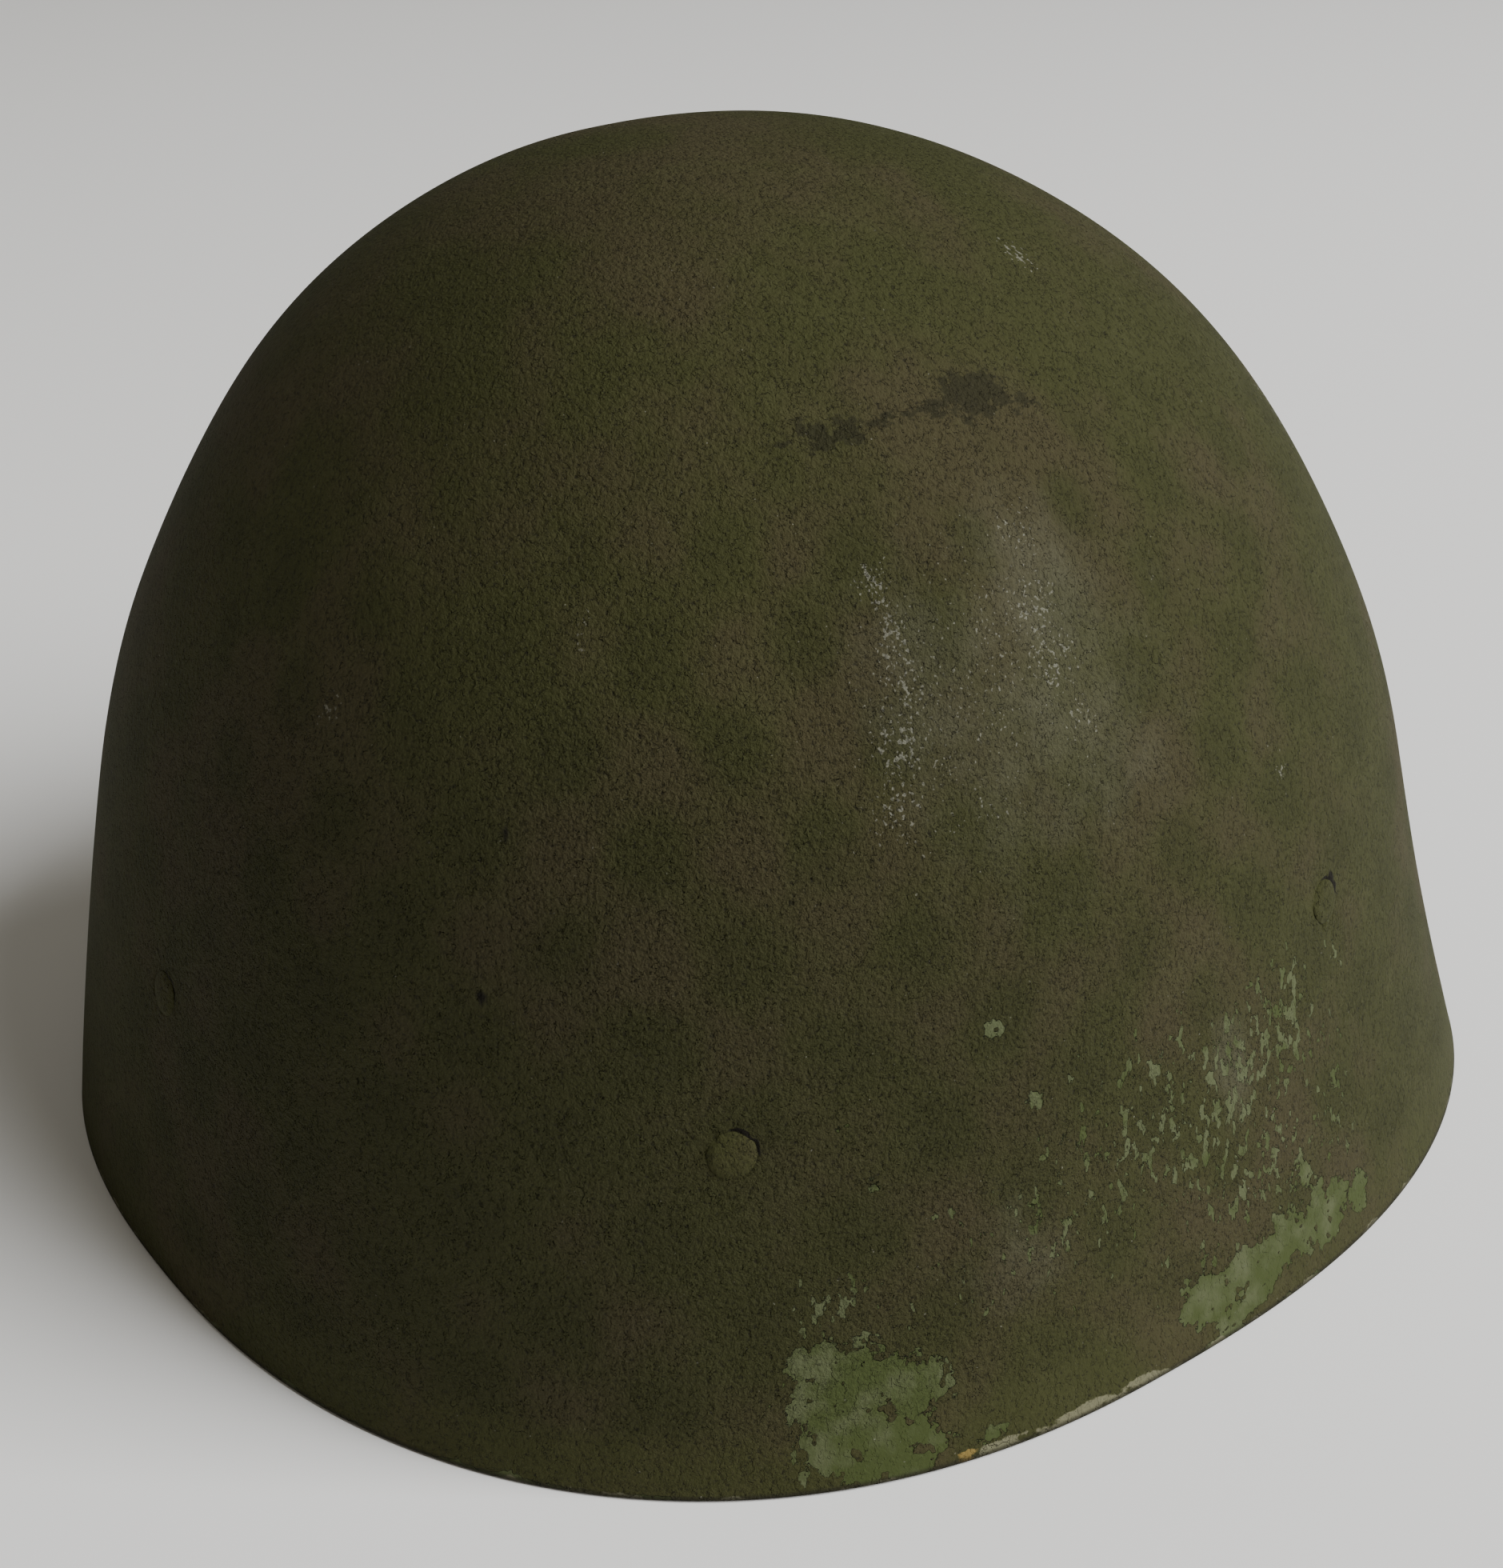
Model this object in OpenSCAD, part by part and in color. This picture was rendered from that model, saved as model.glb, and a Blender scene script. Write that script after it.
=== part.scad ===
// Pressed steel combat helmet with a riveted leather liner and a two-part chin strap.
// All parts are drawn as worn, with the crown upright and the front towards -Y.
// stand() then leans the whole helmet forward onto its rim, so that the rim touches Z = 0.

/* [Shell] */
// Half width of the crown
crown_side = 109.5; // [104:0.5:116]
// Length of the crown ahead of its axis
crown_front = 112.5; // [106:0.5:119]
// Length of the crown behind its axis
crown_rear = 139.5; // [130:0.5:150]
// Height of the crown above the rim plane
crown_h = 177; // [172:0.5:190]
// Height where the crown's wall stands upright
equator_h = 4; // [0:0.5:12]
// Fullness of the side profile, where 2 is an ellipse
profile_n = 2.1; // [2:0.05:2.2]
// Squareness of the plan, where 2 is an ellipse
plan_n = 2.3; // [2.1:0.05:2.5]
// Outward flare of the rim at each side
flare_side = 9.5; // [5:0.5:12]
// Outward flare of the rim at the front
flare_front = 5; // [3:0.5:8]
// Outward flare of the rim at the rear
flare_rear = 12.5; // [7:0.5:16]
// Height of the flare above the rim
flare_h = 66; // [56:1:72]
// Forward lean of the crown when the helmet stands on its rim, in degrees
rest_lean = 3.25; // [2:0.25:5]
// Thickness of the pressed steel
steel_t = 1.2; // [0.9:0.1:1.8]

/* [Liner rivets] */
// Height of the liner rivets above the rim plane
rivet_h = 57.5; // [54:0.5:64]
// Azimuth of the rivets beside the front one
rivet_front_az = 56; // [50:1:60]
// Azimuth of the rivets beside the rear one
rivet_rear_az = 119; // [114:1:126]
// Radius of the flat outer head
rivet_head_r = 4.6; // [3.8:0.1:5.5]
// Height of the head above the steel
rivet_head_h = 0.5; // [0.3:0.1:1.2]
// Depth of the dimple under the head
rivet_seat = 0.35; // [0.2:0.05:0.6]
// Radius of the shank
rivet_shank_r = 2; // [1.5:0.1:2.4]
// Radius of the clenched inner end
rivet_tail_r = 3.2; // [2.6:0.1:3.6]
// Height of the clenched inner end
rivet_tail_h = 1; // [0.6:0.1:1.4]
// Radius of the washer under the inner end
washer_r = 4.6; // [4:0.1:5.4]
// Thickness of the washer
washer_t = 0.7; // [0.5:0.1:1]
// Wall of the distance collar round the shank
collar_wall = 2; // [1.2:0.1:2.6]

/* [Liner] */
// Distance from the crown outline in to the liner band
band_inset = 15.5; // [14.5:0.5:17.5]
// Height of the steel liner band
band_h = 22; // [18:1:26]
// Thickness of the steel liner band
band_t = 0.8; // [0.6:0.1:1.2]
// Thickness of the sweatband leather
leather_t = 1.8; // [1.4:0.1:2.2]
// Rise of the sweatband above the liner band
sweat_rise = 6; // [4:0.5:9]
// Height of the leather turned up outside the band
turn_up = 3; // [2:0.5:4]
// Thickness of the felt pads
felt_t = 4; // [3:0.5:5]
// Height of the felt pads
felt_h = 17; // [12:1:19]
// Azimuth left free each side of a rivet by the felt pads
felt_clear_az = 6; // [4.5:0.5:9]
// Room between the felt and the liner band for the rivet ends
felt_room = 2.2; // [2:0.1:3]
// Width of a tongue at the sweatband
tongue_base_w = 58; // [50:1:60]
// Width of a tongue at the crown lace
tongue_tip_w = 13; // [10:1:15]
// Thickness of the tongue leather
tongue_t = 1.5; // [1.2:0.1:1.8]
// Overlap of a tongue on the sweatband
tongue_lap = 9; // [7:0.5:12]
// Drop from the crown to the lace
lace_drop = 36; // [30:1:45]
// Radius of the lace ring
lace_ring_r = 27; // [24:1:32]
// Radius of the lace
lace_r = 1.3; // [1:0.1:1.6]
// Length of the hem that closes each tongue over the lace
hem_l = 8; // [6:0.5:10]

/* [Chin strap] */
// Radius of the wire in the strap rings and the buckle
wire_r = 1.3; // [1:0.1:1.5]
// Thickness of the sheet in the ring plates
plate_t = 1; // [0.8:0.1:1.2]
// Width of the ring plates
plate_w = 24; // [20:1:28]
// Height of the ring plates on the band
plate_h = 16; // [13:0.5:18]
// Drop from the middle of the band to the ring plate's eye
eye_drop = 17; // [16.5:0.5:19]
// Length of the eye along the ring's bar
eye_w = 13; // [10:1:15]
// Distance between the bars of a strap ring
ring_h = 15; // [14:0.5:18]
// Width of the strap leather
strap_w = 18; // [15:1:19]
// Thickness of the strap leather
strap_t = 2; // [1.6:0.1:2.4]
// Angle at which a strap hangs from its ring, from upright
strap_slope = 35; // [30:1:40]
// Radius of the bend where a strap comes to lie flat
strap_bend_r = 20; // [17:1:23]
// Distance from the middle of the helmet to the buckle's bar
buckle_x = 22; // [21:0.5:25]
// Distance between the bars of the buckle
buckle_l = 17; // [15:0.5:18]
// Distance from the middle of the helmet to the fold in the long strap
fold_x = 15; // [14:0.5:20]
// Radius of the fold in the long strap
fold_r = 7.5; // [6:0.5:9]
// Length of the folded-back end of the long strap
fold_l = 52; // [46:1:58]
// Radius of the holes in the long strap
strap_hole_r = 1.7; // [1.2:0.1:2]
// Distance between the holes in the long strap
strap_hole_step = 9; // [7:0.5:9]
// Width of the keeper along the strap
keeper_w = 9; // [7:0.5:10]

/* [Hidden] */
$fn = 48;

steel = "#4a4632";
bare_steel = "#6d6b64";
leather = "#5b3d26";
felt = "#77735f";
lace = "#8a7f62";

// Clearances
seat_gap = 0.25;
soft_gap = 0.3;
hole_gap = 0.2;
pivot_gap = 0.08;
cut_past = 1;
bore_l = 6;

// Steps of the swept shapes
full_turn = 360;
az_step = 6;
crown_rows = 13;
skirt_rows = 8;
flare_t = 0.75;
hoop_step = 5;
tongue_rows = 9;
liner_top_h = rivet_h + band_h / 2 + sweat_rise;
liner_low_h = rivet_h - band_h / 2;
rivet_az = [0, rivet_front_az, rivet_rear_az, 180, -rivet_rear_az, -rivet_front_az];

// Plan outline: radius at an azimuth, with 0 at the front and 90 at +X
function outline_r(az, side, front, rear) =
    let (len = cos(az) > 0 ? front : rear)
    pow(pow(abs(cos(az)) / len, plan_n) + pow(abs(sin(az)) / side, plan_n), -1 / plan_n);
function crown_r(az, inset = 0) =
    outline_r(az, crown_side - inset, crown_front - inset, crown_rear - inset);
function rim_r(az) =
    outline_r(az, crown_side + flare_side, crown_front + flare_front, crown_rear + flare_rear);
// Outward flare at a height above the rim
function flare(az, above) = (rim_r(az) - crown_r(az)) * pow(max(0, 1 - above / flare_h), 2);
function rim_z(az) = tan(rest_lean) * rim_r(az) * cos(az);
function polar(az, r, z) = [r * sin(az), -r * cos(az), z];
function unit(v) = v / norm(v);

// Share of the crown's plan at an angle down from its top
function girth(turn) = pow(1 - pow(abs(cos(turn)), profile_n), 1 / profile_n);

// Outer face of the shell: t runs from 0 at the top to 1 at the rim
function turn_of(z) = acos((z - equator_h) / (crown_h - equator_h));
function shell_pt(az, t) =
    let (turn = t * turn_of(rim_z(az)), z = equator_h + (crown_h - equator_h) * cos(turn))
    polar(az, crown_r(az) * girth(turn) + flare(az, z - rim_z(az)), z);
function shell_out(az, t) =
    let (d = 0.01, t1 = min(t + d, 1), t0 = max(t1 - 2 * d, 0))
    unit(cross(shell_pt(az, t1) - shell_pt(az, t0), shell_pt(az + 1, t) - shell_pt(az - 1, t)));
function shell_inner_pt(az, t) = shell_pt(az, t) - steel_t * shell_out(az, t);

// Point and outward direction on the crown at a height
function wall_t(az, z) = turn_of(z) / turn_of(rim_z(az));
function wall_pt(az, z) = shell_pt(az, wall_t(az, z));
function wall_out(az, z) = shell_out(az, wall_t(az, z));
band_lean = asin(wall_out(90, rivet_h)[2]);

// Liner hoops lean in with the crown's wall
function hoop_inset(inset, z) = inset + tan(band_lean) * (z - rivet_h);
function hoop_pt(az, inset, z) = polar(az, crown_r(az, hoop_inset(inset, z)), z);
function outside(p, inset) =
    norm([p[0], p[1]]) > crown_r(atan2(p[0], -p[1]), hoop_inset(inset, p[2]));
function reach(p, dir, inset, lo = 0, hi = 2 * band_inset, steps = 24) =
    let (mid = (lo + hi) / 2)
    steps == 0 ? mid
        : outside(p - mid * dir, inset) ? reach(p, dir, inset, mid, hi, steps - 1)
        : reach(p, dir, inset, lo, mid, steps - 1);

// Rim points decide how far the helmet drops when it stands
function stood(p) = p[1] * sin(rest_lean) + p[2] * cos(rest_lean);
function stood_y(p) = p[1] * cos(rest_lean) - p[2] * sin(rest_lean);
rim_pts = [for (az = [0:az_step:359]) each [shell_pt(az, 1), shell_inner_pt(az, 1)]];
stand_z = -min([for (p = rim_pts) stood(p)]);
stand_y = -(min([for (p = rim_pts) stood_y(p)]) + max([for (p = rim_pts) stood_y(p)])) / 2;

module stand() {
    translate([0, stand_y, stand_z]) rotate([rest_lean, 0, 0]) children();
}

// Faces between m loops of n points, where the first point is number base
function wall_faces(m, n, base, wrap) =
    [for (i = [0:m - (wrap ? 1 : 2)], j = [0:n - 1], k = [0:1])
        let (a = base + i * n + j, b = base + i * n + (j + 1) % n,
            c = base + ((i + 1) % m) * n + j, d = base + ((i + 1) % m) * n + (j + 1) % n)
        k == 0 ? [a, b, c] : [b, d, c]];

// Solid through loops of points, capped at both ends or joined into a ring
module loft(loops, wrap = false) {
    m = len(loops);
    n = len(loops[0]);
    last = (m - 1) * n;
    caps = wrap ? [] : [for (j = [0:n / 2 - 2], k = [0:3])
        let (a = j, b = j + 1, c = n - 1 - j, d = n - 2 - j)
        [[c, b, a], [c, d, b], [last + a, last + b, last + c], [last + b, last + d, last + c]][k]];
    polyhedron([for (l = loops) each l], concat(wall_faces(m, n, 0, wrap), caps), convexity = 6);
}

// Solid through rings of points, closed by one point at each end
module dome(first, rings, last) {
    m = len(rings);
    n = len(rings[0]);
    top = [for (j = [0:n - 1]) [0, 1 + (j + 1) % n, 1 + j]];
    low = [for (j = [0:n - 1]) [1 + m * n, 1 + (m - 1) * n + j, 1 + (m - 1) * n + (j + 1) % n]];
    polyhedron(concat([first], [for (r = rings) each r], [last]),
        concat(top, wall_faces(m, n, 1, false), low), convexity = 6);
}

// Profile of [inset, height] swept round the plan, clockwise with the inset to the right
module hoop(profile, from = 0, to = full_turn) {
    whole = to - from == full_turn;
    steps = ceil((to - from) / hoop_step);
    loft([for (i = [0:whole ? steps - 1 : steps])
        let (az = from + (to - from) * i / steps) [for (p = profile) hoop_pt(az, p[0], p[1])]],
        whole);
}

// Children stand on the crown's outer face, with Z pointing outwards
module on_wall(az, z) {
    out = wall_out(az, z);
    translate(wall_pt(az, z)) rotate([0, acos(out[2]), atan2(out[1], out[0])]) children();
}

// Distance from the outer face in to a hoop, along the rivet's axis
function band_reach(az) = reach(wall_pt(az, rivet_h), wall_out(az, rivet_h), band_inset);

module shell() {
    rows = concat([for (i = [1:crown_rows]) i / crown_rows * flare_t],
        [for (i = [1:skirt_rows]) flare_t + (1 - flare_t) * i / skirt_rows]);
    back = [for (i = [len(rows) - 1:-1:0]) rows[i]];
    outer = [for (t = rows) [for (az = [0:az_step:359]) shell_pt(az, t)]];
    inner = [for (t = back) [for (az = [0:az_step:359]) shell_inner_pt(az, t)]];
    color(steel) difference() {
        dome([0, 0, crown_h], concat(outer, inner), [0, 0, crown_h - steel_t]);
        for (az = rivet_az) on_wall(az, rivet_h) {
            translate([0, 0, -rivet_seat]) cylinder(h = 3 * steel_t, r = rivet_head_r + hole_gap);
            translate([0, 0, -3 * steel_t]) cylinder(h = 6 * steel_t, r = rivet_shank_r + hole_gap);
        }
    }
}

module liner_rivets() {
    color(steel) for (az = rivet_az) on_wall(az, rivet_h) {
        tail_z = -band_reach(az) - band_t - washer_t - 2 * seat_gap;
        bevel = rivet_head_h / 2;
        rotate_extrude() polygon([[0, tail_z - rivet_tail_h], [rivet_tail_r - bevel, tail_z - rivet_tail_h],
            [rivet_tail_r, tail_z], [rivet_shank_r, tail_z], [rivet_shank_r, seat_gap / 5 - rivet_seat],
            [rivet_head_r, seat_gap / 5 - rivet_seat], [rivet_head_r, rivet_head_h - bevel],
            [rivet_head_r - 2 * bevel, rivet_head_h], [0, rivet_head_h]]);
    }
}

module rivet_washers() {
    color(bare_steel) for (az = rivet_az) on_wall(az, rivet_h)
        translate([0, 0, -band_reach(az) - band_t - washer_t - 1.5 * seat_gap]) difference() {
            cylinder(h = washer_t, r = washer_r);
            translate([0, 0, -cut_past])
                cylinder(h = washer_t + 2 * cut_past, r = rivet_shank_r + hole_gap);
        }
}

module distance_collars() {
    color(bare_steel) for (az = rivet_az) on_wall(az, rivet_h) {
        low = -band_reach(az) + seat_gap;
        high = -steel_t - 2 * seat_gap;
        translate([0, 0, low]) difference() {
            cylinder(h = high - low, r = rivet_shank_r + hole_gap + collar_wall);
            translate([0, 0, -cut_past])
                cylinder(h = high - low + 2 * cut_past, r = rivet_shank_r + hole_gap);
        }
    }
}

// Children sit on the liner band's outer face beside the ear, with X outwards and Z up the band
module on_band(side) {
    mirror([side < 0 ? 1 : 0, 0, 0]) translate([crown_side - band_inset, 0, rivet_h])
        rotate([0, -band_lean, 0]) children();
}

// Ring plate: riveted to the band, with its lower edge rolled out into an eye
eye_r = wire_r + pivot_gap;
eye_x = seat_gap + eye_r + plate_t;
plate_rivet_edge = 4.5;
plate_rivet_y = plate_w / 2 - plate_rivet_edge;
plate_rivet_z = 2;
plate_rivet_r = 1.2;
plate_rivet_head_r = 2.3;
plate_rivet_head_h = 0.7;

module plate_bores() {
    for (y = [-1, 1]) translate([-bore_l / 2, y * plate_rivet_y, plate_rivet_z]) rotate([0, 90, 0])
        cylinder(h = bore_l, r = plate_rivet_r + hole_gap / 2);
}

module liner_band() {
    inner = band_inset + band_t;
    high = rivet_h + band_h / 2;
    color(bare_steel) difference() {
        hoop([[band_inset, liner_low_h], [band_inset, high], [inner, high], [inner, liner_low_h]]);
        for (az = rivet_az) on_wall(az, rivet_h) translate([0, 0, -band_reach(az) - bore_l / 2])
            cylinder(h = bore_l, r = rivet_shank_r + hole_gap);
        for (side = [-1, 1]) on_band(side) plate_bores();
    }
}

// The sweatband hangs inside the felt, and turns up round the band's lower edge
sweat_face = band_inset + band_t + felt_room + felt_t + soft_gap;
module sweatband() {
    out = band_inset - soft_gap;
    low = liner_low_h - soft_gap;
    round_off = leather_t / 2;
    notch_w = plate_w + 2 * cut_past;
    notch_t = 8;
    color(leather) difference() {
        hoop([[out - leather_t, low - round_off], [out - leather_t, liner_low_h + turn_up],
            [out, liner_low_h + turn_up], [out, low], [sweat_face, low],
            [sweat_face, liner_top_h], [sweat_face + leather_t, liner_top_h],
            [sweat_face + leather_t, low - round_off], [sweat_face + round_off, low - leather_t],
            [out - round_off, low - leather_t]]);
        for (side = [-1, 1]) on_band(side)
            translate([-hole_gap / 2, -notch_w / 2, -eye_drop]) cube([notch_t, notch_w, eye_drop]);
    }
}

module felt_pad(from, to) {
    near = band_inset + band_t + felt_room;
    far = near + felt_t;
    low = rivet_h - felt_h / 2;
    high = rivet_h + felt_h / 2;
    bevel = felt_t / 4;
    color(felt) hoop([[near, low + bevel], [near, high - bevel], [near + bevel, high], [far - bevel, high],
        [far, high - bevel], [far, low + bevel], [far - bevel, low], [near + bevel, low]],
        from + felt_clear_az, to - felt_clear_az);
}

// Tongue: up from the sweatband, over the cradle and round the lace
lace_z = crown_h - lace_drop;
lace_loop_r = lace_r + soft_gap + tongue_t / 2;
hem_gap = 1.3 * (tongue_t + hole_gap);
loop_start = 76;
loop_end = 270;
loop_rows = 7;
loop_step = (loop_end - loop_start) / loop_rows;
taper_power = 0.8;
tongues = 8;
tongue_cols = 3;
function tongue_path(az) =
    let (face = sweat_face + leather_t + soft_gap + tongue_t / 2,
        foot_z = liner_top_h - tongue_lap,
        foot_r = crown_r(az, hoop_inset(face, foot_z)),
        spring_r = crown_r(az, hoop_inset(face, liner_top_h)),
        end_r = lace_ring_r + lace_loop_r * cos(loop_start),
        end_z = lace_z + lace_loop_r * sin(loop_start),
        end_a = acos(end_r / spring_r),
        arch_h = (end_z - liner_top_h) / sin(end_a),
        hem_r = lace_ring_r + hem_l,
        hem_z = liner_top_h + arch_h * sqrt(1 - pow(hem_r / spring_r, 2)) - hem_gap)
    concat([[foot_r, foot_z]],
        [for (i = [0:tongue_rows]) let (a = end_a * i / tongue_rows)
            [spring_r * cos(a), liner_top_h + arch_h * sin(a)]],
        [for (i = [1:loop_rows]) let (a = loop_start + i * loop_step)
            [lace_ring_r, lace_z] + lace_loop_r * [cos(a), sin(a)]],
        [[hem_r, min(hem_z, lace_z - lace_r)]]);
function path_side(path, i) =
    let (a = path[max(i - 1, 0)], b = path[min(i + 1, len(path) - 1)], d = unit(b - a)) [-d[1], d[0]];

function tongue_pt(az, i, face) =
    let (path = tongue_path(az), p = path[i] + face * path_side(path, i) * tongue_t / 2)
    polar(az, p[0], p[1]);

module tongue(number) {
    az = (number - 0.5) * full_turn / tongues;
    mid = tongue_path(az);
    color(leather) loft([for (i = [0:len(mid) - 1])
        let (taper = pow(max(0, 1 - i / tongue_rows), taper_power),
            width = tongue_tip_w + (tongue_base_w - tongue_tip_w) * taper,
            side_az = width / 2 / max(mid[i][0], lace_ring_r) * 180 / PI,
            spread = [for (k = [0:tongue_cols]) side_az * (2 * k / tongue_cols - 1)])
        concat([for (k = spread) tongue_pt(az + k, i, -1)], [for (k = spread) tongue_pt(az - k, i, 1)])]);
}

// Lace: a ring through the tongues' hems, tied at the rear with two short ends
module crown_lace() {
    knot = polar(180, lace_ring_r, lace_z);
    end_l = 16;
    end_tilt = 200;
    end_spread = 28;
    color(lace) {
        translate([0, 0, lace_z]) rotate_extrude() translate([lace_ring_r, 0]) circle(r = lace_r);
        translate(knot) sphere(r = 2 * lace_r);
        for (side = [-1, 1]) translate(knot) rotate([end_tilt, end_spread * side, 0])
            cylinder(h = end_l, r = lace_r);
    }
}

module ring_plate(side) {
    color(bare_steel) on_band(side) difference() {
        union() {
            translate([seat_gap, -plate_w / 2, -plate_h / 2]) cube([plate_t, plate_w, plate_h]);
            translate([seat_gap, -eye_w / 2, -eye_drop])
                cube([plate_t, eye_w, eye_drop - plate_h / 2 + cut_past]);
            translate([eye_x, eye_w / 2, -eye_drop]) rotate([90, 0, 0])
                cylinder(h = eye_w, r = eye_r + plate_t);
        }
        translate([eye_x, eye_w, -eye_drop]) rotate([90, 0, 0]) cylinder(h = 2 * eye_w, r = eye_r);
        plate_bores();
    }
}

module plate_rivets() {
    color(bare_steel) for (side = [-1, 1], y = [-1, 1]) on_band(side)
        translate([0, y * plate_rivet_y, plate_rivet_z]) rotate([0, 90, 0]) {
            shank_z = -band_t - seat_gap;
            translate([0, 0, shank_z]) cylinder(h = seat_gap * 2 + plate_t - shank_z, r = plate_rivet_r);
            translate([0, 0, plate_t + seat_gap * 1.2])
                cylinder(h = plate_rivet_head_h, r1 = plate_rivet_head_r, r2 = plate_rivet_r);
            translate([0, 0, shank_z - plate_rivet_head_h])
                cylinder(h = plate_rivet_head_h, r1 = plate_rivet_r, r2 = plate_rivet_head_r);
        }
}

// Centre of the plate's eye, and of the ring's lower bar under it, beside the +X ear
eye_pt = [crown_side - band_inset + eye_x * cos(band_lean) + eye_drop * sin(band_lean),
    rivet_h + eye_x * sin(band_lean) - eye_drop * cos(band_lean)];
bar_pt = eye_pt - [0, ring_h];
ring_room = 2;
ring_half_w = strap_w / 2 + wire_r + ring_room;
ring_corner_r = 3;

// Wire rectangle in the YZ plane, down from its upper bar
module wire_ring(height, half_w) {
    c = ring_corner_r;
    for (y = [-1, 1]) translate([0, y * half_w, c - height]) cylinder(h = height - 2 * c, r = wire_r);
    for (z = [0, -height]) translate([0, half_w - c, z]) rotate([90, 0, 0])
        cylinder(h = 2 * (half_w - c), r = wire_r);
    for (y = [0, 1], z = [0, 1]) mirror([0, y, 0]) translate([0, half_w - c, -height / 2])
        mirror([0, 0, z]) translate([0, 0, height / 2 - c]) rotate([90, 0, 90])
            rotate_extrude(angle = 90) translate([c, 0]) circle(r = wire_r);
}

module strap_ring(side) {
    color(bare_steel) mirror([side < 0 ? 1 : 0, 0, 0]) translate([eye_pt[0], 0, eye_pt[1]])
        wire_ring(ring_h, ring_half_w);
}

// Straps are drawn beside the +X ear as paths of [x, z], and the short one is mirrored
loop_r = wire_r + pivot_gap + strap_t;
floor_gap = 0.4;
ground_h = ring_half_w * tan(rest_lean) + floor_gap;
keeper_t = 1.2;
keeper_gap = 0.3;
short_z = ground_h + keeper_t + keeper_gap + strap_t / 2;
long_z = ground_h + strap_t / 2;
bend_step = 0.25;
// Run from the ring down to the level where the strap lies flat
function hang_path(z) =
    let (r = strap_bend_r, turn = 90 - strap_slope,
        run = (bar_pt[1] - z - r * (1 - cos(turn))) / cos(strap_slope),
        bend = bar_pt - run * [sin(strap_slope), cos(strap_slope)],
        mid = bend + r * [-cos(strap_slope), sin(strap_slope)])
    concat([bar_pt, bend], [for (i = [bend_step:bend_step:1]) let (a = turn * (1 - i))
        mid + r * [sin(a), -cos(a)]]);
function ribbon(path, t) =
    concat([for (i = [0:len(path) - 1]) path[i] + path_side(path, i) * t / 2],
        [for (i = [len(path) - 1:-1:0]) path[i] - path_side(path, i) * t / 2]);
module band_of(path, t, w) {
    translate([0, w / 2, 0]) rotate([90, 0, 0]) linear_extrude(w) polygon(ribbon(path, t));
}
module across(p, r, w) {
    translate([p[0], w / 2, p[1]]) rotate([90, 0, 0]) cylinder(h = w, r = r);
}

// The short ply that closes the loop round the ring
lap_l = 15;
lap_end = 5;
lap_run = 3;
hang_dir = [-sin(strap_slope), -cos(strap_slope)];
hang_out = [cos(strap_slope), -sin(strap_slope)];
ply_step = strap_t * 0.98;
module ring_loop() {
    across(bar_pt, loop_r, strap_w);
    band_of([bar_pt, bar_pt + loop_r * hang_dir + ply_step * hang_out / 2,
        bar_pt + (loop_r + lap_run) * hang_dir + ply_step * hang_out,
        bar_pt + lap_l * hang_dir + ply_step * hang_out], strap_t, strap_w);
}
// Rivet through both plies, square to the strap
strap_rivet_r = 1.4;
strap_rivet_head_r = 3;
strap_rivet_head_h = 0.8;
ply_cut = 4 * strap_t;
ring_rivet_pt = bar_pt + (lap_l - lap_end) * hang_dir + ply_step / 2 * hang_out;
module through(p, angle, r, l) {
    translate([p[0], 0, p[1]]) rotate([0, angle, 0]) translate([0, 0, -l / 2]) cylinder(h = l, r = r);
}
module ply_rivet(p, angle) {
    grip = strap_t + ply_step + seat_gap;
    through(p, angle, strap_rivet_r, grip + strap_rivet_head_h);
    for (end = [0, 1]) translate([p[0], 0, p[1]]) rotate([0, angle, 0]) mirror([0, 0, end])
        translate([0, 0, grip / 2])
            cylinder(h = strap_rivet_head_h, r1 = strap_rivet_head_r, r2 = strap_rivet_head_r * 0.6);
}
ring_rivet_angle = 90 + strap_slope;

// Buckle: lies flat, with its bar in a fold of the short strap
bar_z = short_z - strap_t / 2 + loop_r;
buckle_pt = [buckle_x, bar_z];
slot_w = 4.4;
prong_r = 0.9;
roller_r = wire_r + pivot_gap + 0.7;
buckle_lap = 16;
fold_run = 2;
fold_drop = 7;
slot_l = 12.5;
slot_start = 5;
lap_z = short_z + ply_step;
fold_top_z = bar_z + loop_r - strap_t / 2;
buckle_rivet_pt = [buckle_x + buckle_lap - lap_end, short_z + ply_step / 2];

module strap_short() {
    color(leather) mirror([1, 0, 0]) difference() {
        union() {
            ring_loop();
            band_of(concat(hang_path(short_z), [[buckle_x, short_z]]), strap_t, strap_w);
            across(buckle_pt, loop_r, strap_w);
            band_of([[buckle_x, fold_top_z], [buckle_x + fold_run, fold_top_z],
                [buckle_x + fold_drop, lap_z], [buckle_x + buckle_lap, lap_z]], strap_t, strap_w);
        }
        across(bar_pt, eye_r, strap_w + 2 * cut_past);
        across(buckle_pt, eye_r, strap_w + 2 * cut_past);
        translate([buckle_x - slot_start, -slot_w / 2, 0]) cube([slot_l, slot_w, buckle_lap]);
        through(ring_rivet_pt, ring_rivet_angle, strap_rivet_r + hole_gap / 2, ply_cut);
        through(buckle_rivet_pt, 0, strap_rivet_r + hole_gap / 2, ply_cut);
    }
}

module strap_rivets_short() {
    color(bare_steel) mirror([1, 0, 0]) {
        ply_rivet(ring_rivet_pt, ring_rivet_angle);
        ply_rivet(buckle_rivet_pt, 0);
    }
}

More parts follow.
